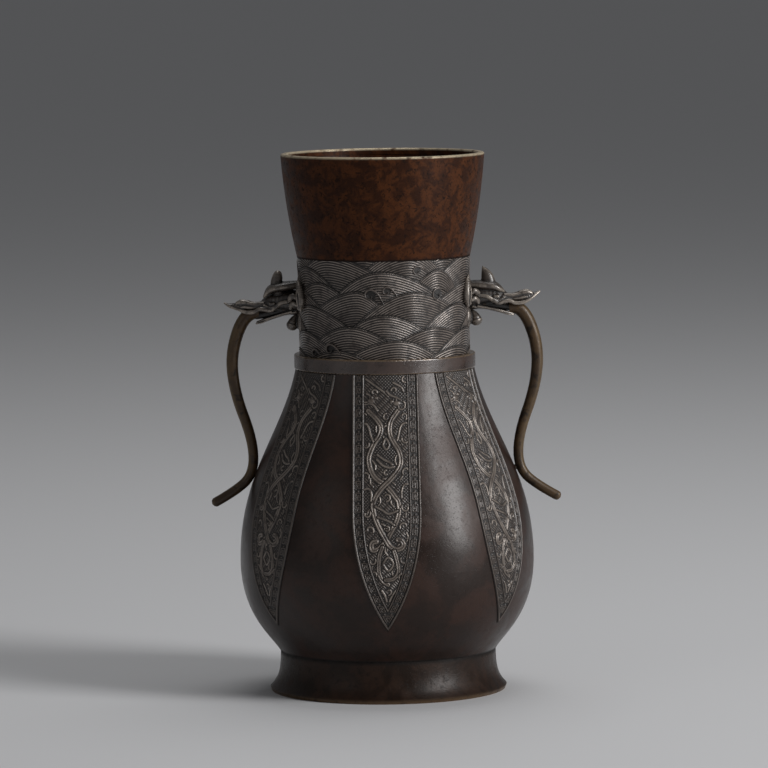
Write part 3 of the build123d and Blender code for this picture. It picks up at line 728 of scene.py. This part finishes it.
# The knobs of the two small faces: middle, half width, half height and rise
KNOBS = [(-8, 172, 2.3, 1.5, 0.9), (-5.2, 173.6, 1.3, 0.9, 0.8), (6.4, 170.6, 2.4, 1.6, 0.9),
         (3.6, 171.6, 1.3, 0.9, 0.8), (-7.6, 174, 0.7, 0.7, 1.2), (6, 172.4, 0.7, 0.7, 1.2)]

# A curl's radius and turn as shares of its size and turn, how far it draws in, and its points
CURL_WIDE, CURL_WIND, CURL_DRAWN, CURL_POINTS = 1.45, 0.55, 0.55, 12


def curl(x, z, size, start, turn):
    """A small hook that winds inwards."""
    share = np.linspace(0, 1, CURL_POINTS)
    angle = np.radians(start + CURL_WIND * turn * share)
    radius = CURL_WIDE * size * (1 - CURL_DRAWN * share)
    return np.column_stack([x + radius * np.cos(angle), z + radius * np.sin(angle)])


print("lines in the field:", len(STEMS) + len(TAILS) + len(TENDRILS) + len(CURLS))

# %% [markdown]
# ### From drawing to relief
#
# The height of a point comes from its distance to what is drawn near it. A rim or a stem is a half round, so
# its height is that of a circle at that distance. A line first clears a small moat beside it, which is what
# makes carving read as lines from far away, and it also makes one stem pass over the other.

# %% Lines in relief
# How high the ground lies over the body, and how wide a moat and half a groove are
GROUND, MOAT, GROOVE_HALF = 0.10, 0.34, 0.42

# For each kind of line: half its width, how far it rises, how worn its ridge is and how deep its groove is
LINES = {
    "sprig": (0.55, 0.62, 0.82, 0.0),
    "stem": (1.5, 0.95, 0.95, 0.55),
    "tail": (1.2, 0.95, 0.95, 0.55),
    "tendril": (0.68, 0.62, 0.82, 0.0),
    "curl": (0.60, 0.62, 0.82, 0.0),
}


def distance_to(places, line, thick=None):
    """How far points, given by their coordinates, are from a line or, with a radius per row, from a rod."""
    thick = np.zeros(len(line), places[0].dtype) if thick is None else thick
    best = np.full(places[0].shape, np.inf, places[0].dtype)
    for start, end, first, last in zip(line, line[1:], thick, thick[1:]):
        run = end - start
        away = [place - middle for place, middle in zip(places, start)]
        share = np.clip(sum(a * r for a, r in zip(away, run)) / (run @ run), 0, 1)
        gap = np.sqrt(sum((a - share * r) ** 2 for a, r in zip(away, run)))
        best = np.minimum(best, gap - first - share * (last - first))
    return best


def half_round(distance, half):
    """How high a round bar of that half width is at a distance from its middle line, from 0 to 1."""
    return np.sqrt(np.clip(1 - (distance / half) ** 2, 0, 1))


def carve(height, worn, x, z, line, half, rise, rub, groove):
    """Lay a round line with a moat beside it and a groove along it, and note how worn it is."""
    room = half + MOAT
    low, high = line.min(0) - room, line.max(0) + room
    near = (x > low[0]) & (x < high[0]) & (z > low[1]) & (z < high[1])
    gap = distance_to((x[near], z[near]), line)
    part = np.where(gap < room, np.minimum(height[near], GROUND), height[near])
    bar = rise * half_round(gap, half) - groove * np.exp(-((gap / GROOVE_HALF) ** 2))
    height[near] = np.maximum(part, np.where(gap < half, GROUND + bar, 0))
    worn[near] = np.where(gap < half, rub * bar / rise, np.where(gap < room, 0, worn[near]))


print("kinds of line:", ", ".join(LINES))

# %% The field
# The hatching's pitch along x or z, how far it rises and how worn it is
HATCH_PITCH, HATCH_RISE, HATCH_RUB = 1.8, 0.46, 0.78
STROKE, STROKE_BLUNT = 4.6, 0.4
CROSSED_ACROSS, CROSSED_UP = 5.0, 7.0
KNOB_RUB = 0.82

# A small leaf's points, as how far out from its stem and along it they lie
SPRIG = [(1.4, 0.0), (2.8, 1.0), (3.9, 2.9), (3.7, 5.2)]
SPRIG_STEP = 11


def hatching(x, z):
    """Rows of short slanting strokes, crossed by others in some bands, from 0 to 1."""
    across = np.sin((x + z) / HATCH_PITCH * np.pi) ** 2
    along = np.sin((x - z) / HATCH_PITCH * np.pi) ** 2
    breaks = np.abs(np.sin((x - z) / STROKE * np.pi)) ** STROKE_BLUNT
    crossed = np.clip(2 * np.sin(z / CROSSED_UP + x / CROSSED_ACROSS), 0, 1)
    return across * breaks * (1 - crossed) + across * along * crossed


def sprigs(line):
    """Small leaves that bend away from a stem, on its two sides in turn."""
    for index in range(SPRIG_STEP, len(line) - SPRIG_STEP, SPRIG_STEP):
        ahead = line[index + 1] - line[index - 1]
        ahead = ahead / np.linalg.norm(ahead)
        side = np.array([ahead[1], -ahead[0]]) * (1 if index % 2 else -1)
        yield np.array([line[index] + side * out + ahead * along for out, along in SPRIG])


def field_relief(x, z):
    """The field's height over the body at each point of the drawing, and how worn it is there."""
    strokes = hatching(x, z)
    height, worn = GROUND + HATCH_RISE * strokes, HATCH_RUB * strokes
    stems, tails, tendrils = (list(map(smooth_line, lines)) for lines in (STEMS, TAILS, TENDRILS))
    leaves = [sprig for line in stems + tails for sprig in sprigs(line)]
    curls = [curl(*numbers) for numbers in CURLS]
    for kind, lines in zip(LINES, (leaves, stems, tails, tendrils, curls)):
        for line in lines:
            carve(height, worn, x, z, line, *LINES[kind])
    for middle_x, middle_z, half_x, half_z, rise in KNOBS:
        share = np.hypot((x - middle_x) / half_x, (z - middle_z) / half_z)
        knob = half_round(share, 1.0)
        height = np.maximum(height, GROUND + rise * knob)
        worn = np.where(share < 1, KNOB_RUB * knob, worn)
    return height, worn


print(f"hatching: {HATCH_PITCH / 2**0.5:.1f} mm from stroke to stroke")

# %% Rims and key fret round the field
# Widths from the edge inwards, how far each part rises from its foot, and how worn it is
RIM, BORDER, INNER_RIM, INNER_GAP = 1.5, 4.2, 1.0, 0.25
RIM_FOOT, BORDER_FOOT = 0.02, 0.05
RIM_RISE, FRET_RISE, INNER_RISE = 0.95, 0.48, 0.75
RIM_RUB, FRET_RUB = 0.50, 0.55

# One turn of the key fret and the bead after it, along the border and across it
FRET_PITCH, FRET_HALF, BEAD_HALF = 6.5, 0.34, 0.6
FRET = np.array([
    (0.3, 0.75), (4.7, 0.75), (4.7, 3.45), (1.0, 3.45), (1.0, 1.65), (3.5, 1.65), (3.5, 2.55), (2.1, 2.55),
])
FRET_BEAD = (5.7, 2.1)


def leaf_relief(x, z):
    """The leaf's height over the body at each point of the drawing, and how worn it is there."""
    rows = z[:, 0]
    stretch = np.ones_like(x) * np.sqrt(1 + np.gradient(leaf_half(rows), rows) ** 2)[:, None]
    edge = (leaf_half(z) - np.abs(x)) / stretch
    length = np.cumsum(stretch, axis=0) * (rows[1] - rows[0])
    height, worn = field_relief(x, z)
    inner_edge = RIM + BORDER
    inner_rim = half_round(edge - inner_edge - INNER_RIM / 2, INNER_RIM / 2)
    beside = edge < inner_edge + INNER_RIM + INNER_GAP
    height = np.where(beside, GROUND + INNER_RISE * inner_rim, height)
    worn = np.where(beside, RIM_RUB * inner_rim, worn)
    border = (edge > RIM) & (edge < inner_edge)
    spot = (length[border] % FRET_PITCH, edge[border] - RIM)
    bead = np.hypot(spot[0] - FRET_BEAD[0], spot[1] - FRET_BEAD[1])
    fret = np.maximum(half_round(distance_to(spot, FRET), FRET_HALF), half_round(bead, BEAD_HALF))
    height[border] = BORDER_FOOT + FRET_RISE * fret
    worn[border] = FRET_RUB * fret
    rim = half_round(edge - RIM / 2, RIM / 2)
    height = np.where(edge < RIM, RIM_FOOT + RIM_RISE * rim, height)
    return height, np.where(edge < RIM, RIM_RUB * rim, worn)


print(f"the field starts {RIM + BORDER + INNER_RIM:.1f} mm inside the leaf's edge")

# %% Lay the relief on the body
LEAF_ROWS, LEAF_COLUMNS, LEAF_BACK_COLUMNS = 500, 141, 5
LEAF_SUNK = -0.8
TIP_HALF = 0.02


def leaf_mesh():
    """The middle front leaf as a closed mesh: each row runs over the front and returns along the back."""
    rows = np.linspace(LEAF_LOW.z, LEAF_HIGH.z, LEAF_ROWS)
    front = np.linspace(-1, 1, LEAF_COLUMNS)
    back = np.linspace(1, -1, LEAF_BACK_COLUMNS)
    shares, z = np.meshgrid(np.concatenate([front, back]), rows)
    x = shares * np.maximum(leaf_half(z), TIP_HALF)
    height = np.full(x.shape, LEAF_SUNK)
    worn = np.zeros(x.shape)
    shown = np.s_[:, :LEAF_COLUMNS]
    height[shown], worn[shown] = leaf_relief(x[shown], z[shown])
    radius = body_r(z)
    angle = np.arcsin(x / radius)
    points = np.stack([(radius + height) * np.sin(angle), -(radius + height) * np.cos(angle), z], axis=-1)
    wide = x.shape[1]
    start = np.arange((LEAF_ROWS - 1) * wide).reshape(-1, wide)
    beside = np.roll(start, -1, axis=1)
    faces = np.stack([start, beside, beside + wide, start + wide], axis=-1).reshape(-1, 4).tolist()
    faces.append(list(range(wide))[::-1])
    faces.append(list(range((LEAF_ROWS - 1) * wide, LEAF_ROWS * wide)))
    return mesh_from("leaf", points.reshape(-1, 3), faces, relief=worn.ravel())


leaf = leaf_mesh()
print("leaf faces:", len(leaf.polygons))


# %% Turn the leaf to its six places
LEAF_ANGLE = 54.0
leaf_turner = turn_tree("leaf")
for face, start in (("front", 0), ("back", 180)):
    for place, step in (("left", -LEAF_ANGLE), ("middle", 0), ("right", LEAF_ANGLE)):
        name = f"{face}_{place}"
        turned = grown(leaf_turner, leaf, Turn=radians(start + step))
        piece_from(f"leaf_{name}", turned, "leaf_bronze", "leaf", f"leaf_panel_{name}")

# %% [markdown]
# ## The dragon heads
#
# Each handle starts in the mouth of a dragon's head. A wax modeller would roll and press small pieces
# together, and a field of distances can do the same: each roll is a tapering rod through a few points, and
# rolls melt into each other over a small width. The skin lies where the distance is zero, with one corner in
# every cell of a fine grid that it passes through. Only half a head is pressed, as its two sides are alike.

# %% Clay
# The distance in empty clay, how far round a roll it is worked out, and a roll's steps between two rows
FAR, ROOM, ROLL_STEPS = 9.0, 1.5, 4


class Clay:
    """A block of space on a regular grid, into which rolls are pressed, mirrored in the plane y = 0."""

    def __init__(self, low, high, step):
        self.step = step
        self.axes = [np.arange(start, end + step, step, dtype=np.float32) for start, end in zip(low, high)]
        self.field = np.full([len(axis) for axis in self.axes], FAR, np.float32)

    def roll(self, rows, wide):
        """Where a roll is and how far each point there is from it. A row is x, y, z and a radius."""
        line = smooth_line(rows, ROLL_STEPS).astype(np.float32)
        spots, thick = line[:, :3], line[:, 3]
        room = thick.max() * max(wide, 1.0) + ROOM
        ends = zip(spots.min(0) - room, spots.max(0) + room)
        part = tuple(slice(*np.searchsorted(axis, end)) for axis, end in zip(self.axes, ends))
        x, y, z = np.meshgrid(*(axis[cut] for axis, cut in zip(self.axes, part)), indexing="ij")
        spots[:, 1] /= wide
        return part, distance_to((x, y / wide, z), spots, thick)

    def press(self, rows, soft=0.5, wide=1.0):
        """Add a roll, melted in over a width of soft and made wider across the head."""
        part, gap = self.roll(rows, wide)
        self.field[part] = melt(self.field[part], gap, soft)

    def scoop(self, rows, soft):
        """Take a roll away."""
        part, gap = self.roll(rows, 1.0)
        self.field[part] = -melt(-self.field[part], gap, soft)

    def skin(self):
        """The skin of the whole shape, as points and quads."""
        whole = np.concatenate([self.field[:, :0:-1], self.field], axis=1)
        start = np.array([self.axes[0][0], -self.axes[1][-1], self.axes[2][0]])
        points, quads = surface_net(whole)
        return points * self.step + start, quads


def melt(first, second, soft):
    """The nearer of two distances, rounded where they are alike."""
    share = np.clip(0.5 + 0.5 * (second - first) / soft, 0, 1)
    return second * (1 - share) + first * share - soft * share * (1 - share)


def surface_net(field):
    """Quads over the zero level of a field, with one corner in each cell that the level crosses."""
    cells_along = [count - 1 for count in field.shape]
    corners = {
        shift: field[tuple(slice(s, s + count) for s, count in zip(shift, cells_along))]
        for shift in product((0, 1), repeat=3)
    }
    values = np.stack(list(corners.values()))
    crossed = (values.min(0) < 0) & (values.max(0) >= 0)
    cells = np.argwhere(crossed)
    number = np.full(crossed.shape, -1)
    number[crossed] = np.arange(len(cells))
    total, count = np.zeros((len(cells), 3)), np.zeros((len(cells), 1))
    for shift, axis in product(corners, range(3)):
        if shift[axis] == 0:
            other = tuple(1 if index == axis else s for index, s in enumerate(shift))
            near, far = corners[shift][crossed], corners[other][crossed]
            cut = (near < 0) != (far < 0)
            spot = np.tile(np.array(shift, float), (cut.sum(), 1))
            spot[:, axis] = near[cut] / (near[cut] - far[cut])
            total[cut] += spot
            count[cut] += 1
    quads = []
    for axis in range(3):
        first, second = np.eye(3, dtype=int)[[(axis + 1) % 3, (axis + 2) % 3]]
        ahead = np.roll(field, -1, axis=axis)
        flips = (field < 0) != (ahead < 0)
        spots = np.argwhere(flips[:-1, :-1, :-1])
        spots = spots[(spots[:, (axis + 1) % 3] > 0) & (spots[:, (axis + 2) % 3] > 0)]
        around = [spots, spots - first, spots - first - second, spots - second]
        ring = np.stack([number[tuple(spot.T)] for spot in around], axis=1)
        outward = field[tuple(spots.T)] < 0
        quads.append(np.where(outward[:, None], ring, ring[:, ::-1]))
    return cells + total / count, np.vstack(quads)


print("clay ready")

# %% How worn each point of a skin is
# In how many rounds points settle between those around them, and which percentile is a full ridge
SETTLE_ROUNDS, RIDGE_PERCENT = 4, 92


def ridges(points, quads):
    """How far each point stands out from those around it, from 0 in a hollow to 1 on a ridge."""
    pairs = np.vstack([quads[:, [side, (side + 1) % 4]] for side in range(4)])
    here, there = np.vstack([pairs, pairs[:, ::-1]]).T
    count = np.bincount(here, minlength=len(points))

    def around(values):
        sums = [np.bincount(here, column[there], len(points)) for column in values.T]
        return np.column_stack(sums) / count[:, None]

    across = np.cross(points[quads[:, 2]] - points[quads[:, 0]], points[quads[:, 3]] - points[quads[:, 1]])
    normals = np.zeros_like(points)
    for side in range(4):
        np.add.at(normals, quads[:, side], across)
    normals /= np.linalg.norm(normals, axis=1, keepdims=True) + 1e-9
    settled = points
    for _ in range(SETTLE_ROUNDS):
        settled = around(settled)
    out = around(((points - settled) * normals).sum(1, keepdims=True))[:, 0]
    return np.clip(0.5 + 0.5 * out / np.percentile(np.abs(out), RIDGE_PERCENT), 0, 1)


print("ridge finder ready")

# %% [markdown]
# ### The head, roll by roll
#
# The right head is drawn as the photograph shows it from the side: a flat brow that overhangs the eye, a
# dipped snout that ends in an upturned point, a wavy lip along it, a thin lower jaw, a pointed horn on the
# brow and a leaf-shaped ear that lies on the neck. The tenon that goes through the neck ends it inside.

# %% The head's rolls
# What differs between the two heads: the horn's rows, how far the brow is raised and the snout drawn out
HORNS = {
    "right": [(60.2, 3.2, 234.4, 4.2), (59.7, 3.3, 237.6, 3.5), (58.4, 3.3, 240.8, 2), (57, 3.3, 243.7, 0.3)],
    "left": [(60.6, 3.2, 235, 4.2), (61, 3.3, 238.6, 3.4), (60.4, 3.3, 241.2, 3), (60, 3.3, 242.8, 2.4)],
}
BROW_LIFT = {"right": 0.0, "left": 2.8}
SNOUT_REACH = {"right": 0.0, "left": 2.2}
HEAD_CELL, STUD_CELL = 0.32, 0.28


def head_clay(side):
    """One dragon's head, at its place on the right of the neck."""
    lift, reach = BROW_LIFT[side], SNOUT_REACH[side]
    clay = Clay((39.5, 0, 213.5), (94, 23.5, 246.5), HEAD_CELL)
    # Tenon, skull, throat and snout
    clay.press([(46, 0, 227.8, 5), (53, 0, 227.8, 5)])
    clay.press([(47.5, 0, 226.5, 6.4), (56, 0, 227.6, 6), (64, 0, 227.8, 4.8),
                (68, 0, 227, 3.2)], 1, wide=1.2)
    clay.press([(49, 0, 222.6, 3.6), (58, 0, 222, 3), (67, 0, 221.2, 2.6), (74, 0, 220.6, 2.4)], 1, wide=1.2)
    clay.press([(66, 0, 226.2, 3.2), (72, 0, 225.6, 2.3), (77, 0, 225.6, 2.2), (82, 0, 226.5, 2.1),
                (86 + reach, 0, 227.6, 1.1), (89.6 + reach, 0, 229, 0.35)], 0.9, wide=2.1)
    # Eye socket, brow, eyeball and lower lid
    clay.scoop([(57.6, 9, 228.2, 0.9), (62.4, 8.4, 227.2, 1.7), (66.6, 7.2, 227.2, 1.3),
                (69.2, 6.4, 227.8, 0.6)], 0.4)
    clay.press([(50, 3.6, 233.4 + lift, 2.3), (57, 4.3, 233.2 + lift, 2.6), (62.6, 4.6, 232.7 + lift, 2.5),
                (66, 4.4, 231.3 + lift, 1.9), (68.8, 3.8, 229.6 + lift / 2, 0.7)], 0.4, wide=1.6)
    clay.press([(63.6, 6.3, 226.7, 1.1), (65.4, 6, 226.6, 1.1)], 0.12)
    clay.press([(60, 7.4, 227, 0.5), (62.8, 7.3, 225.3, 0.7), (66, 6.7, 224.9, 0.7),
                (69.2, 5.8, 226.4, 0.6)], 0.4)
    # Wavy upper lip, bridge of the nose, nostril and its groove
    clay.press([(54, 7.9, 227.6, 1), (59, 7.8, 227, 1.2), (62.6, 7.2, 224.8, 1.3), (65.5, 6.7, 223.3, 1.3),
                (69, 6.2, 223.9, 1.25), (72, 5.8, 224.2, 1.2), (75.6, 5.3, 222.9, 1.15),
                (80, 4.4, 223.1, 1.1), (84, 3.2, 225, 0.95), (87 + reach, 1.8, 227, 0.75),
                (89.8 + reach, 0.3, 229.1, 0.4)], 0.7)
    clay.press([(69.6, 4, 227.2, 1.2), (74.6, 3.6, 227.2, 1.1), (78, 3.2, 228, 1.1)], 0.7)
    clay.press([(78.6, 2.8, 228.2, 1.4), (82, 2.8, 228.8, 1.5), (84.6, 2.2, 228.2, 1.2)], 0.5)
    clay.scoop([(81, 4.4, 227.2, 0.4), (83, 4.2, 227, 0.45), (84.2, 3.6, 227.8, 0.35)], 0.2)
    # Lower jaw and its edge
    clay.press([(51, 0, 221, 1.2), (56, 0, 220.3, 1), (61, 0, 219.3, 0.9), (67.4, 0, 217.6, 0.85),
                (71.6, 0, 216.3, 0.8), (74.6, 0, 215.8, 0.5)], 0.3, wide=4.8)
    clay.press([(54, 4.6, 221.4, 0.8), (61, 4.3, 220, 0.75), (67.4, 3.6, 218.4, 0.7),
                (74.2, 1.8, 216.5, 0.5)], 0.25)
    # Horn, cheek, ear with its groove, and two tufts of the mane
    clay.press(HORNS[side], 0.4, wide=0.75)
    clay.press([(48.2, 9, 233.6, 1.6), (48.6, 10.4, 229, 2.6), (48.6, 9.4, 224, 2)], 0.6)
    clay.press([(48.6, 13.4, 240, 0.3), (47.8, 15.8, 236.2, 2), (47.4, 17, 231.6, 3),
                (47.3, 17.2, 228, 3.1), (47.6, 16.4, 224.6, 2.1), (48.4, 14.6, 221.6, 0.3)], 0.3, wide=1.5)
    clay.scoop([(48.6, 18.6, 234.2, 0.4), (49.6, 20.4, 229.6, 1.1), (49.4, 19.4, 225.6, 0.9),
                (49, 17.6, 222.8, 0.3)], 0.3)
    clay.press([(50.2, 13.4, 229.4, 0.9), (52, 12.2, 230.6, 1.6), (53.6, 10.6, 229.4, 1.6),
                (54.6, 9, 227.6, 0.8)], 0.3)
    clay.press([(50.2, 12.8, 225.4, 0.9), (52, 11.4, 226.2, 1.5), (53.6, 9.8, 225, 1.4),
                (54.2, 8.4, 223.4, 0.7)], 0.3)
    return clay


def stud_clay():
    """The bead and leaf under a dragon's jaw, which are alike on both sides."""
    clay = Clay((42.5, 0, 206), (59, 13, 224), STUD_CELL)
    # Tenon, leaf and its curled sides with their grooves
    clay.press([(46.3, 0, 213.3, 2.5), (50, 0, 213.3, 2.5)])
    clay.press([(48, 0, 221.6, 0.5), (48.4, 0, 218, 1.8), (48.5, 0, 213.6, 2.2),
                (48.2, 0, 209, 0.6)], 0.5, wide=1.8)
    clay.press([(48.4, 7.4, 221.6, 0.4), (47.8, 9.2, 217.6, 1.4), (47.6, 9.6, 213.6, 1.6),
                (48, 8.2, 210, 0.4)], 0.3)
    clay.scoop([(49.4, 8.2, 218, 0.4), (49.4, 8.4, 213.4, 0.5)], 0.25)
    # Bead and the groove round its root
    clay.press([(50.2, 0, 218.6, 0.7), (51.8, 0, 216.4, 2), (53, 0, 213, 3.4)], 0.4)
    clay.scoop([(50.4, 2.9, 216.6, 0.35), (50.4, 3.6, 212.6, 0.4), (50.6, 2.8, 209.6, 0.3)], 0.25)
    return clay


print("grid steps of the clay:", HEAD_CELL, "and", STUD_CELL, "mm")

# %% [markdown]
# ### The left head
#
# The founder set the two handles by hand: the left dragon sits a little lower and looks down more, and its
# horn is a blunt stump. So its head is pressed on the right side too, with its own horn, brow and snout, and
# is then pitched, lowered and mirrored, with its faces turned back round.

# %% Press and place the heads
HEAD_PIVOT = np.array([NECK_R, 0.0, 227.8])
LEFT_PITCH = radians(-4.0)
LEFT_DROP = 1.6

# The shut part of the mouth, painted dark as shade: its roof and its floor as rows of x and of z, and its
# half width
MOUTH_ROOF = ((54.0, 62.0, 66.0, 76.0), (226.0, 223.6, 222.0, 221.8))
MOUTH_FLOOR = ((54.0, 61.0, 67.4, 74.0), (221.8, 220.4, 218.9, 217.2))
MOUTH_HALF = 5.4


def set_left(points, quads, pitch):
    """The left twin of a skin that was pressed for the right side."""
    x, y, z = (points - HEAD_PIVOT).T
    turned = np.column_stack([x * cos(pitch) - z * sin(pitch), y, x * sin(pitch) + z * cos(pitch)])
    moved = turned + HEAD_PIVOT - np.array([0, 0, LEFT_DROP])
    return moved * np.array([-1, 1, 1]), quads[:, ::-1]


def in_painted_mouth_shade(points):
    """Which points lie in the shut part of the dragon's mouth, where shade is painted."""
    x, y, z = points.T
    between = (x > MOUTH_ROOF[0][0]) & (x < MOUTH_ROOF[0][-1]) & (np.abs(y) < MOUTH_HALF)
    return between & (z < np.interp(x, *MOUTH_ROOF)) & (z > np.interp(x, *MOUTH_FLOOR))


def cast(name, side, clay, pitch, node):
    """Skin the clay, move it to its side and put it in place of a node."""
    points, quads = clay.skin()
    # Points in the shut mouth get no wear, so the dirt colour paints the shade inside it
    worn = ridges(points, quads) * ~in_painted_mouth_shade(points)
    if side == "left":
        points, quads = set_left(points, quads, pitch)
    mesh = mesh_from(f"{name}_{side}", points, quads.tolist(), relief=worn)
    piece_from(f"{name}_{side}", mesh, "dragon_bronze", "dragon", f"{node}_{side}")


SIDES = {"right": 1.0, "left": -1.0}
for side in SIDES:
    cast("dragon", side, head_clay(side), LEFT_PITCH, "dragon_head")
for side in SIDES:
    cast("stud", side, stud_clay(), 0.0, "beard_stud")

# %% [markdown]
# ## The straps
#
# A strap leaves the dragon's mouth, swings out and back to the body, touches it and curls out again. It is
# thick at the mouth and thinner towards its blunt tip. That is a round section on a curve whose size depends
# on how far along it is, which a tree with Curve to Mesh gives directly.

# %% Grow the straps
# Corners that the middle line bends towards, as x and z on the right side
STRAP_LINE = [
    (72, 220.6), (79.6, 221.4), (88.6, 198.4), (87, 174.6), (76.5, 146.2), (76.5, 126.3), (89, 115.8),
    (100.7, 109.6),
]
STRAP_RADII = {"Root": 3.9, "Tip": 2.75}
STRAP_TAPER = 1.8
STRAP_STEPS, STRAP_SIDES = 200, 32
TIP_LEAST = 0.01


def strap_tree():
    """Sweeps a round section along a line, tapering to a rounded tip."""
    kinds = {"Line": "Object"} | dict.fromkeys((*STRAP_RADII, "Outward"), "Float")
    sheet, given = new_tree("tapered_strap", **kinds)
    line = sheet.node("GeometryNodeObjectInfo", {"Object": given["Line"]}, "Geometry")
    line = sheet.node("GeometryNodeResampleCurve", {"Curve": line, "Count": STRAP_STEPS})
    along = sheet.node("GeometryNodeSplineParameter", out="Factor")
    done = sheet.node("GeometryNodeSplineParameter", out="Length")
    to_go = sheet.node("GeometryNodeSplineLength", out="Length") - done
    radius = given["Tip"] + (given["Root"] - given["Tip"]) * (1 - along) ** STRAP_TAPER
    near = sheet.math("MINIMUM", to_go / (radius * MM), 1.0)
    tip = (1 - (1 - near) ** 2) ** 0.5
    ring = sheet.node("GeometryNodeCurvePrimitiveCircle", {"Resolution": STRAP_SIDES, "Radius": MM})
    sockets = {"Curve": line, "Profile Curve": ring, "Scale": radius * tip + TIP_LEAST, "Fill Caps": True}
    strap = sheet.node("GeometryNodeCurveToMesh", sockets)
    facing = sheet.axis(sheet.node("GeometryNodeInputNormal"), "X")
    strap = sheet.store(strap, "relief", 0.5 + 0.5 * facing * given["Outward"])
    end_tree(sheet, strap, "strap")
    return sheet


strap_sheet = strap_tree()
for side, outward in SIDES.items():
    drop = LEFT_DROP if side == "left" else 0.0
    corners = [(outward * x * MM, 0, (z - drop) * MM) for x, z in STRAP_LINE]
    line = curve_from("strap_line", "NURBS", corners)
    base = bpy.data.meshes.new("strap_base")
    strap = grown(strap_sheet, base, Line=line, Outward=outward, **STRAP_RADII)
    bpy.data.objects.remove(line)
    piece_from(f"strap_{side}", strap, "strap_bronze", "strap", f"handle_strap_{side}")

# %% [markdown]
# ## The floor and the light
#
# The vase stands on a plain pale floor that runs out of sight. A tall soft light from the right models the
# carving, as in the photograph, weaker ones fill the left and the top, and the pale world lifts the shadows.

# %% Floor
FLOOR_HALF = 40.0
FLOOR_COLOUR, FLOOR_ROUGHNESS = (0.62, 0.62, 0.63, 1), 0.7

floor_mesh = bpy.data.meshes.new("floor")
floor_corners = [(x * FLOOR_HALF, y * FLOOR_HALF, 0) for x, y in ((-1, -1), (1, -1), (1, 1), (-1, 1))]
floor_mesh.from_pydata(floor_corners, [], [(0, 1, 2, 3)])
floor_finish = bpy.data.materials.new("pale_floor")
floor_finish.use_nodes = True
floor_skin = floor_finish.node_tree.nodes["Principled BSDF"].inputs
floor_skin["Base Color"].default_value = FLOOR_COLOUR
floor_skin["Roughness"].default_value = FLOOR_ROUGHNESS
floor_mesh.materials.append(floor_finish)
floor = placed("floor", floor_mesh)
print("floor laid")

# %% Lights and world
# Each lamp: its place and its size in metres, and its power in watts
LAMPS = {
    "key": ((2.3, -1.3, 1.25), (0.9, 1.9), 72.0),
    "fill": ((-2.3, -1.9, 1.1), (1.8, 1.8), 4.0),
    "top": ((0.2, 0.6, 2.3), (1.4, 1.4), 14.0),
}
WORLD_COLOUR, WORLD_STRENGTH = (0.80, 0.81, 0.83, 1), 0.16

for name, (place, (wide, high), power) in LAMPS.items():
    data = bpy.data.lights.new(name, "AREA")
    data.shape = "RECTANGLE"
    data.size, data.size_y, data.energy = wide, high, power
    lamp = placed(name, data)
    lamp.location = place
    lamp.rotation_euler = (CAMERA_AIM - lamp.location).to_track_quat("-Z", "Y").to_euler()

world = bpy.data.worlds.new("pale_room")
world.use_nodes = True
sky = world.node_tree.nodes["Background"].inputs
sky["Color"].default_value = WORLD_COLOUR
sky["Strength"].default_value = WORLD_STRENGTH
bpy.context.scene.world = world
bpy.context.scene.view_settings.view_transform = "Standard"
print("lamps:", ", ".join(LAMPS))
